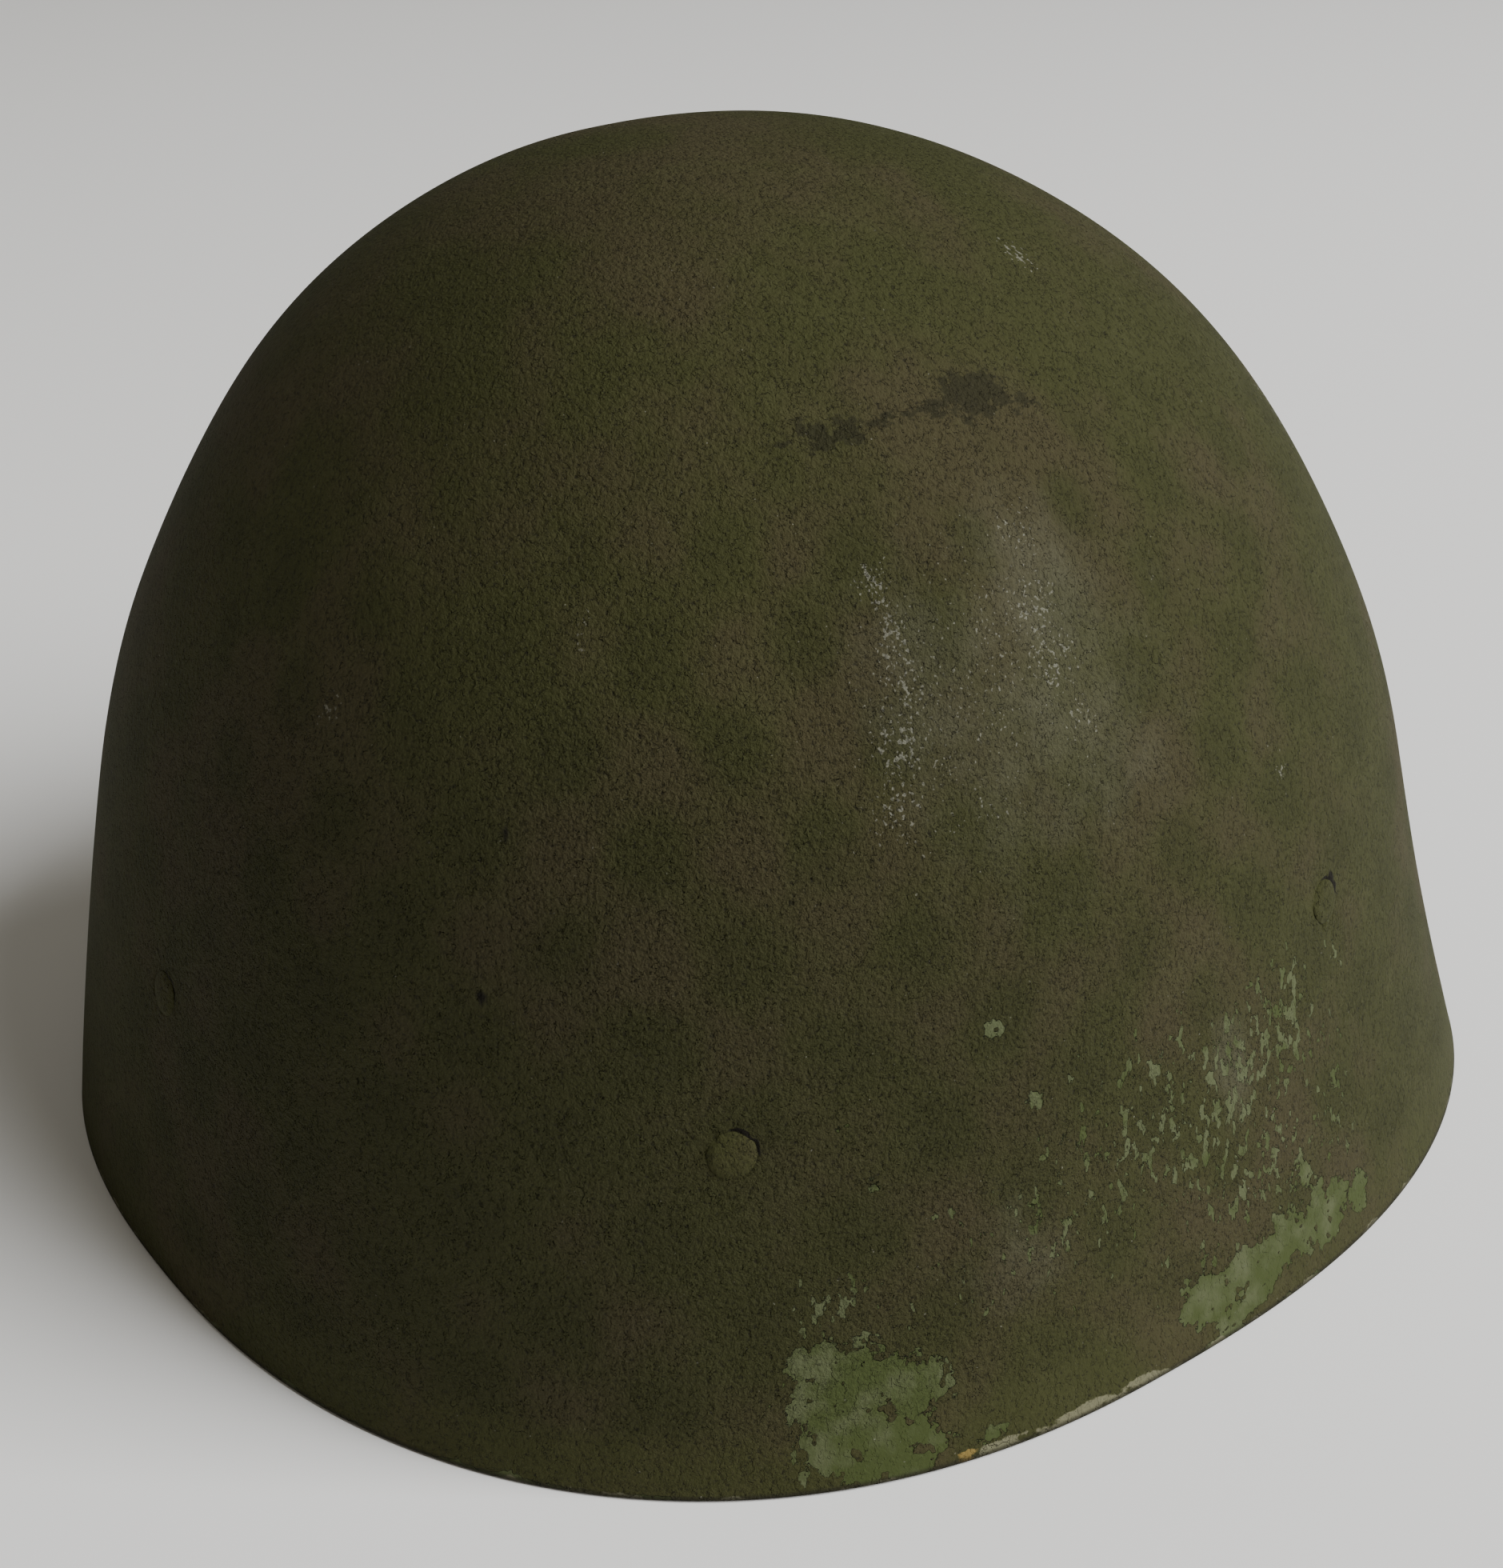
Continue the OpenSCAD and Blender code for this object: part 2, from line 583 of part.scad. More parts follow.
fold_z = long_z + 2 * fold_r;
tip_x = fold_x + fold_l;
hole_start = 14;
holes = 5;
fold_step = 22.5;
module strap_long() {
    point_w = 3;
    point_angle = 50;
    color(leather) difference() {
        union() {
            ring_loop();
            band_of(concat(hang_path(long_z),
                [for (a = [270:-fold_step:90]) [fold_x, long_z + fold_r] + fold_r * [cos(a), sin(a)]],
                [[tip_x, fold_z]]), strap_t, strap_w);
        }
        across(bar_pt, eye_r, strap_w + 2 * cut_past);
        through(ring_rivet_pt, ring_rivet_angle, strap_rivet_r + hole_gap / 2, ply_cut);
        for (i = [0:holes - 1]) translate([tip_x - hole_start - i * strap_hole_step, 0, fold_z - strap_t])
            cylinder(h = 2 * strap_t, r = strap_hole_r);
        for (y = [0, 1]) mirror([0, y, 0]) translate([tip_x, point_w, fold_z - strap_t])
            rotate([0, 0, point_angle]) cube([strap_w, strap_w, 2 * strap_t]);
    }
}

module strap_rivet_long() {
    color(bare_steel) ply_rivet(ring_rivet_pt, ring_rivet_angle);
}

// Keeper: a flat leather loop with room for a second strap
keeper_room = 2;
keeper_x = buckle_x + buckle_lap + keeper_room;
keeper_in_h = 2 * strap_t + 2 * keeper_gap;
module strap_keeper() {
    in_z = short_z - strap_t / 2 - keeper_gap;
    color(leather) mirror([1, 0, 0]) translate([keeper_x, 0, in_z]) difference() {
        translate([0, -strap_w / 2 - keeper_gap - keeper_t, -keeper_t])
            cube([keeper_w, strap_w + 2 * (keeper_gap + keeper_t), keeper_in_h + 2 * keeper_t]);
        translate([-cut_past, -strap_w / 2 - keeper_gap, 0])
            cube([keeper_w + 2 * cut_past, strap_w + 2 * keeper_gap, keeper_in_h]);
    }
}

// Children sit on the buckle's bar, with X towards the far bar
module on_buckle() {
    translate([-buckle_x, 0, bar_z]) children();
}

module buckle_frame() {
    color(bare_steel) on_buckle() rotate([0, -90, 0]) wire_ring(buckle_l, ring_half_w);
}

module buckle_prong() {
    loop_wall = 1.5 * prong_r;
    loop_w = 3;
    tip_l = 2.5;
    start_z = eye_r + prong_r;
    end_z = roller_r + prong_r + hole_gap;
    rise = atan((end_z - start_z) / buckle_l);
    color(bare_steel) on_buckle() difference() {
        union() {
            translate([0, loop_w / 2, 0]) rotate([90, 0, 0]) cylinder(h = loop_w, r = eye_r + loop_wall);
            translate([0, 0, start_z]) rotate([0, 90 - rise, 0]) cylinder(h = buckle_l + tip_l, r = prong_r);
        }
        translate([0, loop_w, 0]) rotate([90, 0, 0]) cylinder(h = 2 * loop_w, r = eye_r);
    }
}

module buckle_roller() {
    end_gap = 0.5;
    half = ring_half_w - ring_corner_r - end_gap;
    color(bare_steel) on_buckle() translate([buckle_l, half, 0]) rotate([90, 0, 0]) difference() {
        cylinder(h = 2 * half, r = roller_r);
        translate([0, 0, -cut_past]) cylinder(h = 2 * half + 2 * cut_past, r = eye_r);
    }
}

stand() shell();
stand() liner_rivets();
stand() rivet_washers();
stand() distance_collars();
stand() liner_band();
stand() sweatband();
stand() felt_pad(0, rivet_front_az);  // felt_pad_front_left
stand() felt_pad(rivet_front_az, rivet_rear_az);  // felt_pad_left
stand() felt_pad(rivet_rear_az, 180);  // felt_pad_rear_left
stand() felt_pad(-rivet_front_az, 0);  // felt_pad_front_right
stand() felt_pad(-rivet_rear_az, -rivet_front_az);  // felt_pad_right
stand() felt_pad(-180, -rivet_rear_az);  // felt_pad_rear_right
stand() tongue(1);  // tongue_1
stand() tongue(2);  // tongue_2
stand() tongue(3);  // tongue_3
stand() tongue(4);  // tongue_4
stand() tongue(5);  // tongue_5
stand() tongue(6);  // tongue_6
stand() tongue(7);  // tongue_7
stand() tongue(8);  // tongue_8
stand() crown_lace();
stand() ring_plate(1);  // ring_plate_left
stand() ring_plate(-1);  // ring_plate_right
stand() plate_rivets();
stand() strap_ring(1);  // strap_ring_left
stand() strap_ring(-1);  // strap_ring_right
stand() strap_short();
stand() strap_long();
stand() strap_rivets_short();
stand() strap_rivet_long();
stand() strap_keeper();
stand() buckle_frame();
stand() buckle_prong();
stand() buckle_roller();
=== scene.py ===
import math

import bmesh
import bpy
import numpy as np
from mathutils import Matrix, Vector


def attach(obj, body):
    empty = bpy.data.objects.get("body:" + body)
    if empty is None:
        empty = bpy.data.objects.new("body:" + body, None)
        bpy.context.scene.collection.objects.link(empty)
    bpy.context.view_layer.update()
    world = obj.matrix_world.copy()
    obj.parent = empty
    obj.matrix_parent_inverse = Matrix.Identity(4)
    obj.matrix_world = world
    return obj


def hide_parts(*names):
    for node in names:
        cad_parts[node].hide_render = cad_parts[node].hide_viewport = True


# A steel combat helmet that stands on its rim: rough olive paint outside, a riveted
# leather and felt liner inside, and a chin strap that lies unbuckled under it.
# Sizes are in millimetres as the helmet is worn, with the crown upright and the front
# towards -Y. placed() leans it onto its rim and gives metres.

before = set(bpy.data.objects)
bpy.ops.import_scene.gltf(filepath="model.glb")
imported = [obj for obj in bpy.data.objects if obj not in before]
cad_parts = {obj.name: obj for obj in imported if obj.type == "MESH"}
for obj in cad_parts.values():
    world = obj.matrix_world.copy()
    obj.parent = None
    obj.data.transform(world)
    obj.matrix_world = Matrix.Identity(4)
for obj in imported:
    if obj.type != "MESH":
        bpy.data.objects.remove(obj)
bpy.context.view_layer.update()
print("frame loaded:", len(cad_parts), "nodes")

shellSize = {
    "crownSide": 109.5, "crownFront": 112.5, "crownRear": 139.5, "crownHeight": 177.0,
    "equator": 4.0,          # height where the wall stands upright
    "planPower": 2.3, "profilePower": 2.1,       # 2 would be an ellipse
    "flareSide": 9.5, "flareFront": 5.0, "flareRear": 12.5, "flareHeight": 66.0,
    "lean": math.radians(3.25), "steel": 1.2,
}


def outlineRadius(az, side, front, rear):
    power = shellSize["planPower"]
    length = np.where(np.cos(az) > 0, front, rear)
    return (np.abs(np.cos(az) / length) ** power
            + np.abs(np.sin(az) / side) ** power) ** (-1 / power)


def crownRadius(az, inset=0.0):
    return outlineRadius(az, shellSize["crownSide"] - inset, shellSize["crownFront"] - inset,
                         shellSize["crownRear"] - inset)


def rimRadius(az):
    return outlineRadius(az, shellSize["crownSide"] + shellSize["flareSide"],
                         shellSize["crownFront"] + shellSize["flareFront"],
                         shellSize["crownRear"] + shellSize["flareRear"])


def rimHeight(az):
    return math.tan(shellSize["lean"]) * rimRadius(az) * np.cos(az)


def turnOf(height):          # angle down from the crown at which the wall has that height
    base = shellSize["equator"]
    return np.arccos((height - base) / (shellSize["crownHeight"] - base))


def polar(az, radius, height):
    return np.stack([radius * np.sin(az), -radius * np.cos(az), height + 0 * radius], -1)


def shellPoint(az, turn):    # outer face of the shell
    base = shellSize["equator"]
    height = base + (shellSize["crownHeight"] - base) * np.cos(turn)
    above = height - rimHeight(az)
    flare = (rimRadius(az) - crownRadius(az)) \
        * np.maximum(0, 1 - above / shellSize["flareHeight"]) ** 2
    power = shellSize["profilePower"]
    girth = (1 - np.abs(np.cos(turn)) ** power) ** (1 / power)
    return polar(az, crownRadius(az) * girth + flare, height)


def unitRows(vectors):
    return vectors / np.maximum(np.linalg.norm(vectors, axis=-1, keepdims=True), 1e-12)


def shellOut(az, turn):      # outward direction of the outer face
    step = 0.002
    down = shellPoint(az, turn + step) - shellPoint(az, np.maximum(turn - step, 1e-4))
    sideways = shellPoint(az + step, turn) - shellPoint(az - step, turn)
    return unitRows(np.cross(down, sideways))


def squarish(turn, power):   # cosine and sine of a turn, flattened towards a rounded rectangle
    return [np.sign(part) * np.abs(part) ** power[i] for i, part in enumerate((np.cos(turn), np.sin(turn)))]


def alongLine(line, closed=False):   # unit directions along a line of points
    return unitRows(np.roll(line, -1, 0) - np.roll(line, 1, 0) if closed else np.gradient(line, axis=0))


def runOf(line):             # how far each point is along the line
    return np.concatenate([[0], np.cumsum(np.linalg.norm(np.diff(line, axis=0), axis=1))])


def sampled(line, run, places):      # the line's points that far along it
    return np.stack([np.interp(places, run, part) for part in np.transpose(line)], -1)


fullTurn = 2 * math.pi


def around(count):           # that many angles once round
    return np.linspace(0, fullTurn, count, endpoint=False)


def circleOf(right, up, count):      # unit circles over pairs of directions
    turn = around(count)[:, None]
    return right[..., None, :] * np.cos(turn) + up[..., None, :] * np.sin(turn)


def stood(points):
    lean = shellSize["lean"]
    return np.stack([points[..., 0],
                     points[..., 1] * math.cos(lean) - points[..., 2] * math.sin(lean),
                     points[..., 1] * math.sin(lean) + points[..., 2] * math.cos(lean)], -1)


rimAz = np.radians(np.arange(0, 360, 6))
rimOuter = shellPoint(rimAz, turnOf(rimHeight(rimAz)))
rimInner = rimOuter - shellSize["steel"] * shellOut(rimAz, turnOf(rimHeight(rimAz)))
rimStood = stood(np.concatenate([rimOuter, rimInner]))
standShift = np.array([0, -(rimStood[:, 1].min() + rimStood[:, 1].max()) / 2, -rimStood[:, 2].min()])


def placed(points):          # millimetres as worn to metres as it stands
    return (stood(np.asarray(points, float)) + standShift) / 1000


def softNoise(points, size, seed):   # smooth random lumps of about that size, from -1 to 1
    draw = np.random.default_rng(seed)
    waves = unitRows(draw.normal(size=(28, 3))) * (fullTurn / size) * draw.uniform(0.5, 1.1, (28, 1))
    shifts = draw.uniform(0, fullTurn, 28)
    flat = np.asarray(points, float).reshape(-1, 3)
    total = np.zeros(len(flat))
    for wave, shift in zip(waves, shifts):
        total += np.cos(flat @ wave + shift)
    return (total / math.sqrt(14) / 2).reshape(np.shape(points)[:-1])


def smoothStep(value, low, high):
    t = np.clip((value - low) / (high - low), 0, 1)
    return t * t * (3 - 2 * t)


def intoScene(name, data):
    thing = bpy.data.objects.new(name, data)
    bpy.context.scene.collection.objects.link(thing)
    return thing


class Shape:                 # vertices in millimetres, faces, and which material each face has
    def __init__(self):
        self.points, self.faces, self.finish, self.count = [], [], [], 0
        self.marks = {}

    def add(self, points, faces, finish=0, **marks):
        points = np.asarray(points, float).reshape(-1, 3)
        for name in dict.fromkeys([*self.marks, *marks]):
            older = self.marks.setdefault(name, [np.zeros(self.count)])
            older.append(np.asarray(marks.get(name, np.zeros(len(points))), float).ravel())
        self.points.append(points)
        self.faces.append(np.asarray(faces) + self.count)
        self.finish.append(np.full(len(faces), finish) if np.isscalar(finish) else np.asarray(finish))
        self.count += len(points)

    def addGrid(self, grid, finish=0, wrapRows=False, caps=(), **marks):     # rows of rings
        rows, columns = grid.shape[:2]
        i, j = [a.ravel() for a in np.meshgrid(np.arange(rows if wrapRows else rows - 1), np.arange(columns),
                                               indexing="ij")]
        a, b = i * columns + j, i * columns + (j + 1) % columns
        c, d = ((i + 1) % rows) * columns + j, ((i + 1) % rows) * columns + (j + 1) % columns
        faces, points = [np.stack([a, b, d, c], -1)], [grid.reshape(-1, 3)]
        marks = {name: np.asarray(values, float).ravel() for name, values in marks.items()}
        for row, middle in zip((0, rows - 1), caps):     # each end is closed by a fan to its middle
            ring = row * columns + np.arange(columns)
            after, hub = np.roll(ring, -1), np.full(columns, sum(len(p) for p in points))
            faces.append(np.stack([ring, after, hub, hub] if row else [after, ring, hub, hub], -1))
            points.append(np.reshape(middle, (1, 3)))
            marks = {name: np.append(values, values[ring].mean()) for name, values in marks.items()}
        self.add(np.concatenate(points), np.concatenate(faces), finish, **marks)

    def addClosed(self, grid, finish=0, **marks):        # rows of rings with both ends closed
        self.addGrid(grid, finish, caps=(grid[0].mean(0), grid[-1].mean(0)), **marks)

    def toMesh(self, name, mirrored=False):
        points = np.concatenate(self.points) * [-1 if mirrored else 1, 1, 1]
        faces = np.concatenate(self.faces)[:, ::-1 if mirrored else 1]
        mesh = bpy.data.meshes.new(name)
        mesh.from_pydata(placed(points).tolist(), [], [tuple(dict.fromkeys(face)) for face in faces.tolist()])
        mesh.polygons.foreach_set("material_index", np.concatenate(self.finish).astype(np.int32))
        mesh.polygons.foreach_set("use_smooth", np.ones(len(mesh.polygons), bool))
        for mark, parts in self.marks.items():
            attribute = mesh.attributes.new(mark, "FLOAT", "POINT")
            attribute.data.foreach_set("value", np.concatenate(parts).astype(np.float32))
        sided = bmesh.new()      # points that coincide are joined, every closed surface faces outwards
        sided.from_mesh(mesh)
        bmesh.ops.remove_doubles(sided, verts=sided.verts[:], dist=1e-7)
        bmesh.ops.recalc_face_normals(sided, faces=sided.faces[:])
        sided.to_mesh(mesh)
        sided.free()
        return mesh

    def make(self, name, body, materials, replaces=(), slot=None, mirrored=False):
        mesh = self.toMesh(name, mirrored)
        for material in materials:
            mesh.materials.append(material)
        piece = intoScene(name, mesh)
        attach(piece, body)
        if replaces:
            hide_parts(*replaces)
        print("piece", name, len(mesh.polygons), "faces")
        return piece


def toLinear(code):          # "#rrggbb" as a scene-linear colour
    parts = [int(code[i:i + 2], 16) / 255 for i in (1, 3, 5)]
    return [p / 12.92 if p <= 0.04045 else ((p + 0.055) / 1.055) ** 2.4 for p in parts] + [1.0]


def perMetre(millimetres):   # texture scale for a pattern of that size
    return 1000 / millimetres


def plugIn(tree, node, links):
    for socket, value in links.items():
        if isinstance(value, bpy.types.NodeSocket):
            tree.links.new(value, node.inputs[socket])
        else:
            node.inputs[socket].default_value = value


def addNode(tree, kind, links=None, **settings):
    node = tree.nodes.new("ShaderNode" + kind)
    for name, value in settings.items():
        setattr(node, name, value)
    plugIn(tree, node, links or {})
    return node


def startMaterial(name, **values):
    material = bpy.data.materials.new(name)
    material.use_nodes = True
    tree = material.node_tree
    tree.nodes.clear()
    shader = addNode(tree, "BsdfPrincipled", values)
    addNode(tree, "OutputMaterial", {"Surface": shader.outputs["BSDF"]})
    place = addNode(tree, "TexCoord").outputs["Object"]
    return material, tree, shader, place


def fadeIn(tree, value, source, added, low, high, most=1.0, least=0.0, ramp="SMOOTHSTEP"):
    total = value[source]    # with what is added by weight, it fades from least at low to most at high
    for name, weight in added.items():
        sumOf = {0: value[name], 1: weight, 2: total}
        total = addNode(tree, "Math", sumOf, operation="MULTIPLY_ADD").outputs[0]
    return addNode(tree, "MapRange", {"Value": total, "From Min": low, "From Max": high, "To Min": least,
                                      "To Max": most}, interpolation_type=ramp).outputs[0]


# Sockets of the Mix node for colours: factor, the two colours, and its result.
mixFactor, mixFirst, mixSecond, mixResult = 0, 6, 7, 2


def layTints(tree, base, layers):    # tints over a base colour, each by its share
    colour = toLinear(base)
    for tint, share in layers:
        colour = addNode(tree, "Mix", {mixFactor: share, mixFirst: colour, mixSecond: toLinear(tint)},
                         data_type="RGBA").outputs[mixResult]
    return colour


# Textured enamel sprayed over steel, with an older smooth green coat under it. It is dull and
# rough as sandpaper, browner where it has weathered, and gone in flakes near the rim. What
# fades in comes from a noise below or from a mark that the shell's mesh carries.
breakUp = {"breakWide": 0.75, "breakFine": 0.35}     # added to a mark, they give it a broken edge
paint = {
    "olive": "#303217", "oldGreen": "#37401f", "oldGreenPale": "#4c5138",
    "noises": {              # size, detail, roughness, and how far it is squeezed up the wall
        "patches": (34.0, 4.0, 0.6, 1.0), "mottle": (9.0, 5.0, 0.7, 1.0), "lumps": (1.35, 3.0, 0.6, 0.65),
        "grains": (0.7, 4.0, 0.62, 1.0), "breakWide": (6.5, 3.0, 0.6, 1.0), "breakFine": (1.6, 3.0, 0.6, 1.0),
        "islands": (2.9, 2.5, 0.5, 1.0), "flakes": (1.7, 2.5, 0.55, 0.6), "streaks": (3.2, 4.0, 0.7, 2.2),
        "glints": (0.66, 1.5, 0.5, 1.0),
    },
    "shares": {              # source, what is added, where it starts, where it is full, and its most
        "raised": ("lumps", {}, 0.52, 0.57),
        "chipped": ("chips", breakUp, 1.035, 1.06),
        "left": ("islands", {}, 0.66, 0.64),
        "flaked": ("flakes", {"flecks": 0.30}, 0.79, 0.815),
        "paler": ("breakWide", {"flecks": 0.2}, 0.45, 0.8, 0.85),
    },
    "weatherAndPaintedLight": [             # tint, then as above
        ("#37331f", "patches", {"brown": 1.0}, 0.44, 0.70),
        ("#404126", "mottle", {}, 0.48, 0.78, 0.35),
        ("#262810", "net", {}, 0.0, 1.0, 0.32),
        ("#0d0d05", "grains", {}, 0.45, 0.30, 0.75),     # painted shade in the hollows between the grains
        # painted light: the grain tops lighter
        ("#404126", "grains", {}, 0.56, 0.74, 0.45),
        # painted sheen: lighter and bluish grey, where the paint is also less rough
        ("#4a4938", "sheen", {"breakWide": 0.6}, 0.40, 1.1, 0.8),
        ("#1b1b0d", "smear", {"streaks": 1.3, "grains": 0.25}, 1.22, 1.36, 0.75),
        ("#2b2015", "rust", breakUp, 0.95, 1.15, 0.7),
    ],
    "marks": [               # the same, over the green coat too
        ("#6d6b54", "cream", breakUp, 1.02, 1.10, 0.8),
        ("#7e6a38", "ochre", breakUp, 1.04, 1.12, 0.85),
        ("#1a1911", "rimEdge", {}, 0.3, 0.9, 0.8),
        # painted glints: pale specks on scuffed grain tops
        ("#77766a", "glints", {"scuffGlint": 0.27}, 0.755, 0.82, 0.6),
        ("#050402", "crack", {}, 0.35, 0.7),
    ],
    # the green coat is smooth, and so is a band along the rim
    "relief": [("bare", 0.2, 0.9, 0.45, 1.0), ("smooth", 0.0, 1.0, 0.4, 1.0), ("coarse", 0.0, 1.0, 2.2, 0.7)],
    "lumpHeight": 0.00042, "grainHeight": 0.00085, "coatHeight": 0.0005, "greenStrength": 0.95,
}
shellMarks = ("chips", "flecks", "smear", "scuffGlint", "sheen", "ochre", "cream", "rust", "brown", "coarse",
              "crack", "net", "smooth", "rimEdge")


def sprayedPaint():
    material, tree, shader, place = startMaterial("sprayedPaint", **{
        "Roughness": 0.8, "Specular IOR Level": 0.22, "Specular Tint": toLinear("#fff4dc")})
    value = {name: addNode(tree, "Attribute", attribute_name=name).outputs["Fac"] for name in shellMarks}
    for name, (size, detail, rough, squeeze) in paint["noises"].items():
        where = place
        if squeeze != 1:
            where = addNode(tree, "Mapping", {"Vector": place, "Scale": (1.0, 1.0, squeeze)}).outputs[0]
        value[name] = addNode(tree, "TexNoise", {"Vector": where, "Scale": perMetre(size), "Detail": detail,
                                                 "Roughness": rough}).outputs["Fac"]
    for name, share in paint["shares"].items():
        value[name] = fadeIn(tree, value, *share)
    chip = addNode(tree, "Math", {0: value["chipped"], 1: value["left"]}, operation="MULTIPLY").outputs[0]
    value["bare"] = addNode(tree, "Math", {0: chip, 1: value["flaked"]}, operation="MAXIMUM").outputs[0]
    layers = [(tint, fadeIn(tree, value, *share)) for tint, *share in paint["weatherAndPaintedLight"]]
    for tint, strength in (("oldGreen", paint["greenStrength"]), ("oldGreenPale", value["paler"])):
        share = addNode(tree, "Math", {0: value["bare"], 1: strength}, operation="MULTIPLY").outputs[0]
        layers.append((paint[tint], share))
    layers += [(tint, fadeIn(tree, value, *share)) for tint, *share in paint["marks"]]
    colour = layTints(tree, paint["olive"], layers)
    # grains of paint on wider lumps, and the green coat a step deeper
    roughness = [fadeIn(tree, value, source, {}, *fade) for source, *fade in paint["relief"]]
    links = {}
    for name, height in (("raised", paint["lumpHeight"]), ("grains", paint["grainHeight"])):
        relief = value[name]
        for share in roughness:
            relief = addNode(tree, "Math", {0: relief, 1: share}, operation="MULTIPLY").outputs[0]
        links = {"Normal": addNode(tree, "Bump", {"Height": relief, "Distance": height, **links}).outputs[0]}
    coat = addNode(tree, "Bump", {"Height": value["bare"], "Distance": paint["coatHeight"], "Strength": 0.8,
                                  **links}, invert=True)
    plugIn(tree, shader, {"Base Color": colour, "Normal": coat.outputs[0],
                          "Roughness": fadeIn(tree, value, "sheen", {}, 0.1, 0.9, 0.62, 0.82)})
    return material


# The other finishes are built alike: noises (size, detail, roughness, distortion), tints over a
# base colour, numbers that vary and a relief. A fade is where it starts, where it is full, its
# value there and at the start, and its ramp.
def layeredMaterial(name, look):
    material, tree, shader, place = startMaterial(name, **look["shader"])
    value = {}
    for source, (size, *settings) in look["noises"].items():
        sockets = dict(zip(("Detail", "Roughness", "Distortion"), settings))
        value[source] = addNode(tree, "TexNoise", {"Vector": place, "Scale": perMetre(size),
                                                   **sockets}).outputs["Fac"]
    if "pebble" in look:     # leather: furrows between pebbles of that size, creases, and marked edges
        value["edge"] = addNode(tree, "Attribute", attribute_name="edge").outputs["Fac"]
        value["distance"] = addNode(tree, "TexVoronoi", {"Vector": place, "Scale": perMetre(look["pebble"])},
                                    feature="DISTANCE_TO_EDGE").outputs["Distance"]
        value["furrow"] = fadeIn(tree, value, "distance", {}, 0.0, 0.16, ramp="LINEAR")
        value["grain"] = addNode(tree, "Math", {0: value["furrow"], 1: value["fine"], 2: value["crease"]},
                                 operation="MULTIPLY_ADD").outputs[0]
    layers = [(tint, fadeIn(tree, value, source, {}, *fade)) for tint, source, *fade in look["tints"]]
    colour = layTints(tree, look["base"], layers)
    source, distance, strength = look["relief"]
    bump = addNode(tree, "Bump", {"Height": value[source], "Distance": distance, "Strength": strength})
    plugIn(tree, shader, {"Base Color": colour, "Normal": bump.outputs[0]})
    for socket, (source, *fade) in look.get("vary", {}).items():
        plugIn(tree, shader, {socket: fadeIn(tree, value, source, {}, *fade)})
    return material


# The inside was dipped in a thinner coat: darker, nearly smooth, with rust freckles.
dippedPaint = {
    "base": "#3c3a2b", "shader": {"Roughness": 0.62},
    "noises": {"patches": (22.0, 5.0), "freckles": (2.4, 4.0), "peel": (1.6, 2.0)},
    "tints": [("#57523d", "patches", 0.4, 0.7, 1.0, 0.0, "LINEAR"),
              ("#4f3420", "freckles", 0.64, 0.7, 1.0, 0.0, "LINEAR")],
    "relief": ("peel", 0.00012, 0.7),
}


# Steel kept bare or thinly zinc plated: grey metal, dulled, with brown freckles of rust.
def agedSteel(clean, dull, roughness, rustStart):
    return {
        "base": clean, "shader": {"Metallic": 1.0, "Roughness": roughness},
        "noises": {"cloud": (6.0, 5.0, 0.65), "freckles": (1.8, 6.0, 0.7)},
        "tints": [(dull, "cloud", 0.38, 0.62, 1.0, 0.0, "LINEAR"),
                  ("#5a3821", "freckles", rustStart, rustStart + 0.08)],
        "vary": {"Metallic": ("freckles", rustStart, rustStart + 0.08, 0.15, 1.0),
                 "Roughness": ("freckles", 0.0, 1.0, roughness + 0.22, roughness - 0.14, "LINEAR")},
        "relief": ("freckles", 0.00006, 0.6),
    }


# Vegetable tanned cowhide: fine pebbled grain, darker where hands and sweat reached it,
# burnished brown along its cut edges.
def tannedLeather(light, dark, burnishedAndShade, pebble, roughness):
    return {
        "base": light, "shader": {"Roughness": roughness}, "pebble": pebble,
        "noises": {"cloud": (18.0, 6.0, 0.62), "fine": (pebble / 2, 3.0), "crease": (7.0, 4.0, 0.5, 1.2)},
        "tints": [(dark, "cloud", 0.36, 0.66),
                  # painted shade in the furrows between the pebbles, in the burnished colour
                  (burnishedAndShade, "furrow", 0.0, 1.0, 0.0, 0.35, "LINEAR"),
                  (burnishedAndShade, "edge", 0.55, 1.0, 0.85)],
        "vary": {"Roughness": ("cloud", 0.0, 1.0, roughness + 0.15, roughness - 0.12, "LINEAR")},
        "relief": ("grain", 0.00022, 0.6),
    }


# Pressed wool felt: no shine, matted fibres that cross each other, paler tufts.
pressedFelt = {
    "base": "#6f6a57", "shader": {"Roughness": 0.97, "Sheen Weight": 0.35, "Sheen Roughness": 0.5},
    "noises": {"tufts": (5.0, 5.0), "fibres": (0.9, 4.0, 0.5, 2.5)},
    "tints": [("#8d8770", "tufts", 0.4, 0.65, 1.0, 0.0, "LINEAR"),
              ("#4e4a3b", "fibres", 0.52, 0.35, 0.7, 0.0, "LINEAR")],
    "relief": ("fibres", 0.0004, 0.9),
}


# Waxed linen thread and cotton cord: twisted yarn, soiled in the hollows.
def twistedYarn(pale, soiled, yarn):
    return {
        "base": pale, "shader": {"Roughness": 0.85},
        "noises": {"soil": (4.0, 5.0), "fibres": (yarn, 3.0, 0.5, 1.5)},
        "tints": [(soiled, "soil", 0.4, 0.62, 1.0, 0.0, "LINEAR")],
        "relief": ("fibres", 0.0002, 0.7),
    }


